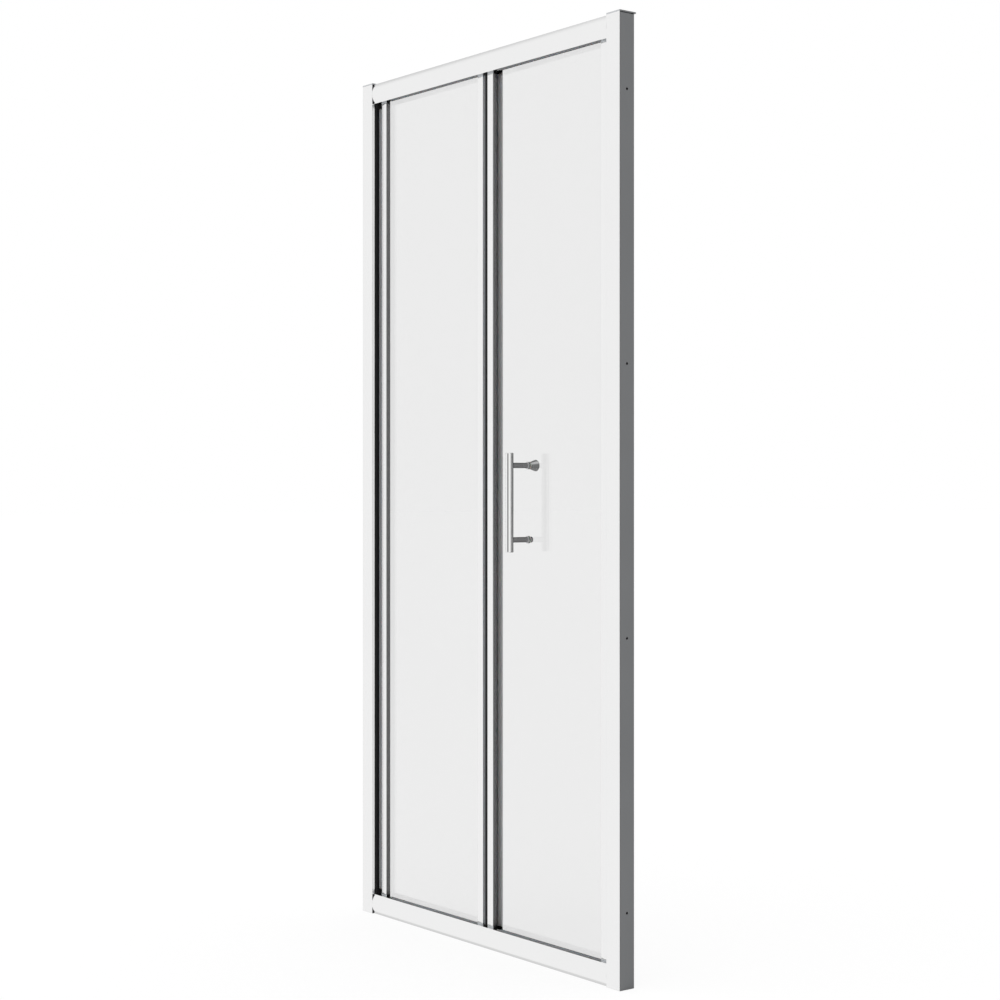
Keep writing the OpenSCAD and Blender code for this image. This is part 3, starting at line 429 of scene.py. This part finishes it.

# A black rubber strip on the jamb behind the seal's bulb: partly the seal's rear lip, partly
# painted shade in the recess beside the seal
lipAndShadeLooks = {
    "jambFaceMm": -401.0, "thickMm": 0.8, "frontMm": -2.6, "rearMm": 0.2,
    "edgeMm": 0.15, "steps": 2,
}
low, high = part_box("jamb_seal")
lipAndShadeMesh = bpy.data.meshes.new("jamb_seal_lip")
work = bmesh.new()
bmesh.ops.create_cube(work, size=1.0)
for corner in work.verts:
    atEnd = [c > 0 for c in corner.co]
    corner.co.x = (lipAndShadeLooks["jambFaceMm"] + (lipAndShadeLooks["thickMm"] if atEnd[0] else 0.0)) * mm
    corner.co.y = (lipAndShadeLooks["rearMm"] if atEnd[1] else lipAndShadeLooks["frontMm"]) * mm
    corner.co.z = high.z if atEnd[2] else low.z
work.to_mesh(lipAndShadeMesh)
work.free()
lipAndShadeMesh.materials.append(finishes["extruded rubber"])
lipAndShade = bpy.data.objects.new("jamb_seal_lip", lipAndShadeMesh)
bpy.context.scene.collection.objects.link(lipAndShade)
lipEdge = lipAndShade.modifiers.new("lipEdge", "BEVEL")
lipEdge.width = lipAndShadeLooks["edgeMm"] * mm
lipEdge.segments = lipAndShadeLooks["steps"]
settle(lipAndShade)
standIn(lipAndShade, "jamb_seal")
print("scene: seal lip")

# The faces that look to the front or the back are clear, and all the others are ground
paneLooks = {"arrisMm": 0.7, "steps": 1, "angle": 40, "clearFacing": 0.999}
for nodeName in ("left_glass", "right_glass"):
    piece = mergedCopy(nodeName, nodeName + "_pane")
    piece.data.materials.clear()
    piece.data.materials.append(finishes["toughened clear glass"])
    piece.data.materials.append(finishes["ground glass edge"])
    arris = piece.modifiers.new("arris", "BEVEL")
    arris.width = paneLooks["arrisMm"] * mm
    arris.segments = paneLooks["steps"]
    arris.limit_method = "ANGLE"
    arris.angle_limit = math.radians(paneLooks["angle"])
    settle(piece)
    for polygon in piece.data.polygons:
        polygon.use_smooth = False
        polygon.material_index = 0 if abs(polygon.normal.y) > paneLooks["clearFacing"] else 1
    standIn(piece, nodeName)
print("scene: glass")


def newTree(name, sockets):
    tree = bpy.data.node_groups.new(name, "GeometryNodeTree")
    tree.interface.new_socket("Geometry", in_out="INPUT", socket_type="NodeSocketGeometry")
    for socketName, kind in sockets.items():
        tree.interface.new_socket(socketName, in_out="INPUT", socket_type="NodeSocket" + kind)
    tree.interface.new_socket("Geometry", in_out="OUTPUT", socket_type="NodeSocketGeometry")
    return tree, addNode(tree, "NodeGroupInput").outputs


def endTree(tree, given, shape):
    # Puts the shape at each point, its z axis along the point's aim, as plain geometry
    aim = addNode(
        tree, "GeometryNodeInputNamedAttribute", {"data_type": "FLOAT_VECTOR"}, {"Name": "aim"},
    )
    turn = addNode(tree, "FunctionNodeAlignRotationToVector", {"axis": "Z"}, {
        "Vector": aim.outputs["Attribute"],
    })
    placed = addNode(tree, "GeometryNodeInstanceOnPoints", None, {
        "Points": given["Geometry"],
        "Instance": shape,
        "Rotation": turn.outputs["Rotation"],
    })
    real = addNode(tree, "GeometryNodeRealizeInstances", None, {
        "Geometry": placed.outputs["Instances"],
    })
    dressed = addNode(tree, "GeometryNodeSetMaterial", None, {
        "Geometry": real.outputs["Geometry"],
        "Material": given["finish"],
    })
    addNode(tree, "NodeGroupOutput", None, {"Geometry": dressed.outputs["Geometry"]})


def grow(name, tree, places, aim, sizes, nodeName):
    # Runs a tree on points at the given places; aim is one direction or one for each place
    mesh = bpy.data.meshes.new(name)
    mesh.from_pydata([tuple(c * mm for c in place) for place in places], [], [])
    aims = aim if isinstance(aim, list) else [aim] * len(places)
    stored = mesh.attributes.new("aim", "FLOAT_VECTOR", "POINT")
    for i, direction in enumerate(aims):
        stored.data[i].vector = direction
    piece = bpy.data.objects.new(name, mesh)
    bpy.context.scene.collection.objects.link(piece)
    modifier = piece.modifiers.new(tree.name, "NODES")
    modifier.node_group = tree
    for item in tree.interface.items_tree:
        if item.item_type == "SOCKET" and item.in_out == "INPUT" and item.name in sizes:
            modifier[item.identifier] = sizes[item.name]
    settle(piece)
    standIn(piece, nodeName)


def screwTree():
    # A pan-head screw with a cross recess and a rolled thread; z = 0 is under its head
    headSides = 32
    coreSides = 20
    threadStepsPerTurn = 14
    threadSides = 4
    tree, given = newTree("crossScrew", {
        "headRadius": "Float", "rimHeight": "Float", "crownRadius": "Float",
        "crownHeight": "Float", "slotLength": "Float", "slotWidth": "Float",
        "slotDepth": "Float", "coreRadius": "Float", "threadRadius": "Float",
        "threadPitch": "Float", "shankLength": "Float", "finish": "Material",
    })
    rim = addNode(tree, "GeometryNodeMeshCone", None, {
        "Vertices": headSides,
        "Radius Top": given["headRadius"],
        "Radius Bottom": given["headRadius"],
        "Depth": given["rimHeight"],
    })
    crown = addNode(tree, "GeometryNodeMeshCone", None, {
        "Vertices": headSides,
        "Radius Top": given["crownRadius"],
        "Radius Bottom": given["headRadius"],
        "Depth": given["crownHeight"],
    })
    rimTop = addNode(tree, "ShaderNodeCombineXYZ", None, {"Z": given["rimHeight"]})
    crownUp = addNode(tree, "GeometryNodeTransform", None, {
        "Geometry": crown.outputs["Mesh"],
        "Translation": rimTop.outputs["Vector"],
    })
    headHeight = addNode(tree, "ShaderNodeMath", {"operation": "ADD"}, {
        0: given["rimHeight"],
        1: given["crownHeight"],
    })
    headTop = addNode(tree, "ShaderNodeCombineXYZ", None, {"Z": headHeight.outputs[0]})
    blades = []
    for along, across in (("slotLength", "slotWidth"), ("slotWidth", "slotLength")):
        size = addNode(tree, "ShaderNodeCombineXYZ", None, {
            "X": given[along],
            "Y": given[across],
            "Z": given["slotDepth"],
        })
        blade = addNode(tree, "GeometryNodeMeshCube", None, {"Size": size.outputs["Vector"]})
        lifted = addNode(tree, "GeometryNodeTransform", None, {
            "Geometry": blade.outputs["Mesh"],
            "Translation": headTop.outputs["Vector"],
        })
        blades.append(lifted.outputs["Geometry"])
    cross = addNode(tree, "GeometryNodeJoinGeometry", None, {"Geometry": blades})
    recessed = addNode(tree, "GeometryNodeMeshBoolean", {"operation": "DIFFERENCE"}, {
        "Mesh 1": crownUp.outputs["Geometry"],
        "Mesh 2": cross.outputs["Geometry"],
    })
    core = addNode(tree, "GeometryNodeMeshCylinder", None, {
        "Vertices": coreSides,
        "Radius": given["coreRadius"],
        "Depth": given["shankLength"],
    })
    halfDown = addNode(tree, "ShaderNodeMath", {"operation": "MULTIPLY"}, {
        0: given["shankLength"],
        1: -0.5,
    })
    middle = addNode(tree, "ShaderNodeCombineXYZ", None, {"Z": halfDown.outputs[0]})
    coreDown = addNode(tree, "GeometryNodeTransform", None, {
        "Geometry": core.outputs["Mesh"],
        "Translation": middle.outputs["Vector"],
    })
    turns = addNode(tree, "ShaderNodeMath", {"operation": "DIVIDE"}, {
        0: given["shankLength"],
        1: given["threadPitch"],
    })
    spiral = addNode(tree, "GeometryNodeCurveSpiral", None, {
        "Resolution": threadStepsPerTurn,
        "Rotations": turns.outputs[0],
        "Start Radius": given["coreRadius"],
        "End Radius": given["coreRadius"],
        "Height": given["shankLength"],
    })
    ridge = addNode(tree, "GeometryNodeCurvePrimitiveCircle", None, {
        "Resolution": threadSides,
        "Radius": given["threadRadius"],
    })
    thread = addNode(tree, "GeometryNodeCurveToMesh", None, {
        "Curve": spiral.outputs["Curve"],
        "Profile Curve": ridge.outputs["Curve"],
        "Fill Caps": True,
    })
    fullDown = addNode(tree, "ShaderNodeMath", {"operation": "MULTIPLY"}, {
        0: given["shankLength"],
        1: -1.0,
    })
    tip = addNode(tree, "ShaderNodeCombineXYZ", None, {"Z": fullDown.outputs[0]})
    threadDown = addNode(tree, "GeometryNodeTransform", None, {
        "Geometry": thread.outputs["Mesh"],
        "Translation": tip.outputs["Vector"],
    })
    whole = addNode(tree, "GeometryNodeJoinGeometry", None, {"Geometry": [
        rim.outputs["Mesh"],
        recessed.outputs["Mesh"],
        coreDown.outputs["Geometry"],
        threadDown.outputs["Geometry"],
    ]})
    endTree(tree, given, whole.outputs["Geometry"])
    return tree


screwLooks = {
    "headRadius": 3.2 * mm, "rimHeight": 1.2 * mm, "crownRadius": 2.3 * mm,
    "crownHeight": 1.0 * mm, "slotLength": 3.7 * mm, "slotWidth": 0.85 * mm,
    "slotDepth": 2.4 * mm, "coreRadius": 1.6 * mm, "threadRadius": 0.2 * mm,
    "threadPitch": 1.3 * mm, "finish": finishes["turned stainless steel"],
}
# Places in mm from the middle of the sill's underside, on both jambs
bothSides = (-1, 1)
cornerMm = {"out": 402.5, "back": (5.0, 13.05), "up": (6.5, 1843.5)}
adjustMm = {"out": 422.0, "back": 18.5, "up": (150.0, 666.667, 1183.333, 1700.0)}
cornerPlaces = [
    (side * cornerMm["out"], back, up)
    for side in bothSides for back in cornerMm["back"] for up in cornerMm["up"]
]
adjustPlaces = [
    (side * adjustMm["out"], adjustMm["back"], up) for side in bothSides for up in adjustMm["up"]
]
backwards = (0, 1, 0)
# "aim" points from a screw's tip to its head, for the whole set or for each screw
screwSets = {
    "cornerScrews": {
        "node": "corner_screws", "shankMm": 21.5, "places": cornerPlaces,
        "aim": [(math.copysign(1, place[0]), 0, 0) for place in cornerPlaces],
    },
    "bracketScrews": {
        "node": "bracket_screws", "shankMm": 13.5, "aim": (-1, 0, 0),
        "places": [(-402.5, 5.0, 22.0), (-402.5, 5.0, 1828.0)],
    },
    "adjustScrews": {
        "node": "adjust_screws", "shankMm": 6.0, "places": adjustPlaces, "aim": backwards,
    },
    "stopScrew": {
        "node": "stop_screw", "shankMm": 11.0, "aim": backwards,
        "places": [(-214.775, 18.5, 1825.0)],
    },
}
crossScrew = screwTree()
for setName, screws in screwSets.items():
    sizes = dict(screwLooks, shankLength=screws["shankMm"] * mm)
    grow(setName, crossScrew, screws["places"], screws["aim"], sizes, screws["node"])
print("scene: screws")


def coverTree():
    # A push-on cover that closes in steps from a straight rim to a flat crown
    roundSides = 48
    ringWeldMm = 0.01
    tree, given = newTree("screwCover", {
        "radius": "Float", "height": "Float", "finish": "Material",
    })
    # Height of a step's foot, its rise, and its radius at foot and top, as parts of the whole
    steps = (
        (0.0, 0.72, 1.0, 1.0),
        (0.72, 0.14, 1.0, 0.93),
        (0.86, 0.09, 0.93, 0.78),
        (0.95, 0.05, 0.78, 0.5),
    )
    crownPart = steps[-1][3]
    rings = []
    for foot, rise, footRadius, topRadius in steps:
        sizes = [
            addNode(tree, "ShaderNodeMath", {"operation": "MULTIPLY"}, {0: given[key], 1: part})
            for key, part in (
                ("radius", footRadius), ("radius", topRadius), ("height", rise), ("height", foot),
            )
        ]
        ring = addNode(tree, "GeometryNodeMeshCone", {"fill_type": "NONE"}, {
            "Vertices": roundSides,
            "Radius Bottom": sizes[0].outputs[0],
            "Radius Top": sizes[1].outputs[0],
            "Depth": sizes[2].outputs[0],
        })
        up = addNode(tree, "ShaderNodeCombineXYZ", None, {"Z": sizes[3].outputs[0]})
        lifted = addNode(tree, "GeometryNodeTransform", None, {
            "Geometry": ring.outputs["Mesh"],
            "Translation": up.outputs["Vector"],
        })
        rings.append(lifted.outputs["Geometry"])
    crownRadius = addNode(tree, "ShaderNodeMath", {"operation": "MULTIPLY"}, {
        0: given["radius"],
        1: crownPart,
    })
    crown = addNode(tree, "GeometryNodeMeshCircle", {"fill_type": "NGON"}, {
        "Vertices": roundSides,
        "Radius": crownRadius.outputs[0],
    })
    crownHeight = addNode(tree, "ShaderNodeCombineXYZ", None, {"Z": given["height"]})
    crownUp = addNode(tree, "GeometryNodeTransform", None, {
        "Geometry": crown.outputs["Mesh"],
        "Translation": crownHeight.outputs["Vector"],
    })
    base = addNode(tree, "GeometryNodeMeshCircle", {"fill_type": "NGON"}, {
        "Vertices": roundSides,
        "Radius": given["radius"],
    })
    baseTurned = addNode(tree, "GeometryNodeTransform", None, {
        "Geometry": base.outputs["Mesh"],
        "Rotation": (math.pi, 0, 0),
    })
    whole = addNode(tree, "GeometryNodeJoinGeometry", None, {
        "Geometry": rings + [crownUp.outputs["Geometry"], baseTurned.outputs["Geometry"]],
    })
    welded = addNode(tree, "GeometryNodeMergeByDistance", None, {
        "Geometry": whole.outputs["Geometry"],
        "Distance": ringWeldMm * mm,
    })
    smooth = addNode(tree, "GeometryNodeSetShadeSmooth", None, {
        "Geometry": welded.outputs["Geometry"],
    })
    endTree(tree, given, smooth.outputs["Geometry"])
    return tree


coverLooks = {
    "radius": 5.5 * mm, "height": 4.0 * mm, "finish": finishes["polished chrome plate"],
}
grow("screwCovers", coverTree(), adjustPlaces, backwards, coverLooks, "screw_covers")
print("scene: screw covers")


def ribTree():
    # A gasket strip, z along it, with round ribs on the side that faces -y
    ribSides = 12
    ribSpread = 2.2
    tree, given = newTree("ribbedStrip", {
        "width": "Float", "backThickness": "Float", "length": "Float", "ribs": "Int",
        "ribHeight": "Float", "finish": "Material",
    })
    size = addNode(tree, "ShaderNodeCombineXYZ", None, {
        "X": given["width"],
        "Y": given["backThickness"],
        "Z": given["length"],
    })
    back = addNode(tree, "GeometryNodeMeshCube", None, {"Size": size.outputs["Vector"]})
    pitch = addNode(tree, "ShaderNodeMath", {"operation": "DIVIDE"}, {
        0: given["width"],
        1: given["ribs"],
    })
    # The first rib lies half a pitch in from the strip's edge
    firstX = addNode(tree, "ShaderNodeMath", {"operation": "SUBTRACT"}, {
        0: pitch.outputs[0],
        1: given["width"],
    })
    halfX = addNode(tree, "ShaderNodeMath", {"operation": "MULTIPLY"}, {
        0: firstX.outputs[0],
        1: 0.5,
    })
    frontY = addNode(tree, "ShaderNodeMath", {"operation": "MULTIPLY"}, {
        0: given["backThickness"],
        1: -0.5,
    })
    start = addNode(tree, "ShaderNodeCombineXYZ", None, {
        "X": halfX.outputs[0],
        "Y": frontY.outputs[0],
    })
    step = addNode(tree, "ShaderNodeCombineXYZ", None, {"X": pitch.outputs[0]})
    row = addNode(tree, "GeometryNodeMeshLine", None, {
        "Count": given["ribs"],
        "Start Location": start.outputs["Vector"],
        "Offset": step.outputs["Vector"],
    })
    rib = addNode(tree, "GeometryNodeMeshCylinder", None, {
        "Vertices": ribSides,
        "Radius": given["ribHeight"],
        "Depth": given["length"],
    })
    flatRib = addNode(tree, "GeometryNodeTransform", None, {
        "Geometry": rib.outputs["Mesh"],
        "Scale": (ribSpread, 1.0, 1.0),
    })
    smooth = addNode(tree, "GeometryNodeSetShadeSmooth", None, {
        "Geometry": flatRib.outputs["Geometry"],
    })
    ribs = addNode(tree, "GeometryNodeInstanceOnPoints", None, {
        "Points": row.outputs["Mesh"],
        "Instance": smooth.outputs["Geometry"],
    })
    whole = addNode(tree, "GeometryNodeJoinGeometry", None, {
        "Geometry": [back.outputs["Mesh"], ribs.outputs["Instances"]],
    })
    endTree(tree, given, whole.outputs["Geometry"])
    return tree


# Middle, width and rib count of each rear gasket; the wide ones show through the glass
# beside the fold as a ribbed grey strip
gasketLooks = {"thicknessMm": 1.4, "ribHeightMm": 0.35}
gasketStrips = {
    "left_rear_gaskets": ((-381.3, 1.6, 1), (-27.55, 26.8, 8)),
    "right_rear_gaskets": ((379.5, 1.6, 1), (21.55, 26.8, 8)),
}
ribbedStrip = ribTree()
for nodeName, strips in gasketStrips.items():
    low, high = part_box(nodeName)
    ribMm = gasketLooks["ribHeightMm"]
    middleY = (low.y + high.y) / 2 / mm + ribMm / 2
    middleZ = (low.z + high.z) / 2 / mm
    for x, width, ribs in strips:
        sizes = {
            "width": width * mm, "backThickness": (gasketLooks["thicknessMm"] - ribMm) * mm,
            "length": high.z - low.z, "ribs": ribs, "ribHeight": ribMm * mm,
            "finish": finishes["soft pale PVC"],
        }
        pieceName = nodeName + ("_edge" if ribs == 1 else "_ribbed")
        grow(pieceName, ribbedStrip, [(x, middleY, middleZ)], (0, 0, 1), sizes, nodeName)
print("scene: ribbed gaskets")

# Cards round the studio, as directions in which a reflected ray meets one. The side cards
# darken the jambs' sides and the back, and the line card draws the dark line down the
# bar's front. The top cards darken the rims of the posts and the bar, and the last of them
# the upper edge of the head rail.
sideCards = (
    {"toward": (0.669, 0.743, 0.0), "from": 0.56, "to": 0.7, "value": 0.275},
    {"toward": (0.0, 1.0, 0.0), "from": 0.3, "to": 0.5, "value": 0.275},
    {"toward": (0.0, 1.0, 0.0), "from": 0.75, "to": 0.9, "value": 0.2},
)
lineCards = ({"toward": (0.08, -0.997, 0.0), "from": 0.93, "to": 0.975, "value": 0.2},)
topCards = (
    {"toward": (-0.1, 0.97, 0.2), "from": 0.65, "to": 0.9, "value": 0.1},
    {"toward": (-0.3, 0.65, 0.7), "from": 0.75, "to": 0.9, "value": 0.1},
    {"toward": (-0.794, 0.0, 0.607), "from": 0.905, "to": 0.98, "value": 0.6},
)
# The same cards darken the floor where a polished piece mirrors it. The side cards do so
# behind the sill and beside its right end: their directions start at the nearest point of
# the sill's middle line, and past the right end at "sillFront" in metres along y. The line
# card starts "farStart" metres out, and the floor along the sill's foot gets a painted
# contact shadow, seen only in a mirror.
floorLooks = {
    "reach": 60.0, "gapMm": 0.4, "paint": 0.15, "glow": 0.855,
    "sillEnd": 0.44, "sillFront": -0.02, "farStart": 6.0, "farEnd": 10.0,
    "footNearMm": 19.0, "footFarMm": 21.5, "footValue": 0.75,
}
# The lamps light the door and aren't seen themselves, straight or in a mirror
lampLooks = {
    "keyLamp": {"place": (-2.2, -3.4, 3.4), "size": 2.4, "watts": 14.0},
    "fillLamp": {"place": (3.2, -2.4, 2.2), "size": 2.0, "watts": 6.0},
}
cameraLooks = {
    "place": (3.1987, -2.4117, 0.9495), "turnDegrees": 52.60, "lens": 69.57,
    "sensor": 36.0, "shiftY": -0.012, "farEnd": 200.0,
}


def cardLevel(tree, direction, shown):
    # White, or the value of the darkest card in that direction
    level = 1.0
    for card in shown:
        facing = addNode(tree, "ShaderNodeVectorMath", {"operation": "DOT_PRODUCT"}, {
            0: direction,
            1: card["toward"],
        })
        fade = addNode(tree, "ShaderNodeMapRange", {"interpolation_type": "SMOOTHSTEP"}, {
            "Value": facing.outputs["Value"],
            "From Min": card["from"],
            "From Max": card["to"],
            "To Min": 1.0,
            "To Max": card["value"],
        })
        darker = addNode(tree, "ShaderNodeMath", {"operation": "MINIMUM"}, {
            0: level,
            1: fade.outputs["Result"],
        })
        level = darker.outputs[0]
    return level


def reflectedFlag(tree):
    # 1 for rays that a glossy surface has turned, and 0 for all others
    rays = addNode(tree, "ShaderNodeLightPath")
    reflected = addNode(tree, "ShaderNodeMath", {"operation": "GREATER_THAN"}, {
        0: rays.outputs["Glossy Depth"],
        1: 0.5,
    })
    return reflected.outputs[0]


paint = bpy.data.materials.new("white studio floor")
paint.use_nodes = True
tree = paint.node_tree
tree.nodes.clear()
point = addNode(tree, "ShaderNodeNewGeometry")
axes = addNode(tree, "ShaderNodeSeparateXYZ", None, {"Vector": point.outputs["Position"]})
alongSill = addNode(tree, "ShaderNodeClamp", None, {
    "Value": axes.outputs["X"],
    "Min": -floorLooks["sillEnd"],
    "Max": floorLooks["sillEnd"],
})
pastRightEnd = addNode(tree, "ShaderNodeMath", {"operation": "GREATER_THAN"}, {
    0: axes.outputs["X"],
    1: floorLooks["sillEnd"],
})
frontOrMiddle = addNode(tree, "ShaderNodeMath", {"operation": "MULTIPLY"}, {
    0: pastRightEnd.outputs[0],
    1: floorLooks["sillFront"],
})
foot = addNode(tree, "ShaderNodeCombineXYZ", None, {
    "X": alongSill.outputs["Result"],
    "Y": frontOrMiddle.outputs[0],
})
fromFoot = addNode(tree, "ShaderNodeVectorMath", {"operation": "SUBTRACT"}, {
    0: point.outputs["Position"],
    1: foot.outputs["Vector"],
})
away = addNode(tree, "ShaderNodeVectorMath", {"operation": "NORMALIZE"}, {
    0: fromFoot.outputs["Vector"],
})
distance = addNode(tree, "ShaderNodeVectorMath", {"operation": "LENGTH"}, {
    0: fromFoot.outputs["Vector"],
})
farAway = addNode(tree, "ShaderNodeMapRange", None, {
    "Value": distance.outputs["Value"],
    "From Min": floorLooks["farStart"],
    "From Max": floorLooks["farEnd"],
})
lineLevel = addNode(tree, "ShaderNodeMix", {"data_type": "FLOAT"}, {
    0: farAway.outputs["Result"],
    2: 1.0,
    3: cardLevel(tree, away.outputs["Vector"], lineCards),
})
fromDoor = addNode(tree, "ShaderNodeMath", {"operation": "ABSOLUTE"}, {0: axes.outputs["Y"]})
# Painted contact shadow on the floor along the sill's foot, seen in mirrors
footShade = addNode(tree, "ShaderNodeMapRange", None, {
    "Value": fromDoor.outputs[0],
    "From Min": floorLooks["footNearMm"] * mm,
    "From Max": floorLooks["footFarMm"] * mm,
    "To Min": floorLooks["footValue"],
    "To Max": 1.0,
})
cardsOrFootShade = addNode(tree, "ShaderNodeMath", {"operation": "MINIMUM"}, {
    0: cardLevel(tree, away.outputs["Vector"], sideCards),
    1: footShade.outputs["Result"],
})
darkest = addNode(tree, "ShaderNodeMath", {"operation": "MINIMUM"}, {
    0: cardsOrFootShade.outputs[0],
    1: lineLevel.outputs[0],
})
matt = addNode(tree, "ShaderNodeBsdfDiffuse", None, {"Color": (*[floorLooks["paint"]] * 3, 1.0)})
glow = addNode(tree, "ShaderNodeEmission", None, {"Strength": floorLooks["glow"]})
seen = addNode(tree, "ShaderNodeAddShader", None, {
    0: matt.outputs["BSDF"],
    1: glow.outputs["Emission"],
})
mirrored = addNode(tree, "ShaderNodeEmission", None, {"Strength": darkest.outputs[0]})
either = addNode(tree, "ShaderNodeMixShader", None, {
    0: reflectedFlag(tree),
    1: seen.outputs["Shader"],
    2: mirrored.outputs["Emission"],
})
addNode(tree, "ShaderNodeOutputMaterial", None, {"Surface": either.outputs["Shader"]})

reach = floorLooks["reach"]
floorZ = -floorLooks["gapMm"] * mm
floorMesh = bpy.data.meshes.new("floor")
floorCorners = [(x * reach, y * reach, floorZ) for x, y in ((-1, -1), (1, -1), (1, 1), (-1, 1))]
floorMesh.from_pydata(floorCorners, [], [(0, 1, 2, 3)])
floorMesh.materials.append(paint)
floor = bpy.data.objects.new("floor", floorMesh)
bpy.context.scene.collection.objects.link(floor)

world = bpy.data.worlds.new("studio")
world.use_nodes = True
tree = world.node_tree
tree.nodes.clear()
place = addNode(tree, "ShaderNodeTexCoord")
level = addNode(tree, "ShaderNodeMix", {"data_type": "FLOAT"}, {
    0: reflectedFlag(tree),
    2: 1.0,
    3: cardLevel(tree, place.outputs["Generated"], sideCards + lineCards + topCards),
})
light = addNode(tree, "ShaderNodeBackground", None, {
    "Color": (1, 1, 1, 1),
    "Strength": level.outputs[0],
})
addNode(tree, "ShaderNodeOutputWorld", None, {"Surface": light.outputs["Background"]})
bpy.context.scene.world = world

doorMiddle = Vector((0.0, 0.0, 0.9))
for lampName, looks in lampLooks.items():
    light = bpy.data.lights.new(lampName, "AREA")
    light.size = looks["size"]
    light.energy = looks["watts"]
    lamp = bpy.data.objects.new(lampName, light)
    lamp.location = looks["place"]
    lamp.rotation_euler = (lamp.location - doorMiddle).to_track_quat("Z", "Y").to_euler()
    lamp.visible_glossy = False
    lamp.visible_camera = False
    lamp.visible_transmission = False
    bpy.context.scene.collection.objects.link(lamp)

cameraData = bpy.data.cameras.new("camera")
cameraData.lens = cameraLooks["lens"]
cameraData.sensor_width = cameraLooks["sensor"]
cameraData.shift_y = cameraLooks["shiftY"]
cameraData.clip_end = cameraLooks["farEnd"]
camera = bpy.data.objects.new("camera", cameraData)
camera.location = cameraLooks["place"]
camera.rotation_euler = (math.radians(90), 0, math.radians(cameraLooks["turnDegrees"]))
bpy.context.scene.collection.objects.link(camera)
bpy.context.scene.camera = camera
bpy.context.scene.view_settings.view_transform = "Standard"
print("scene: floor, world, lamps and camera")
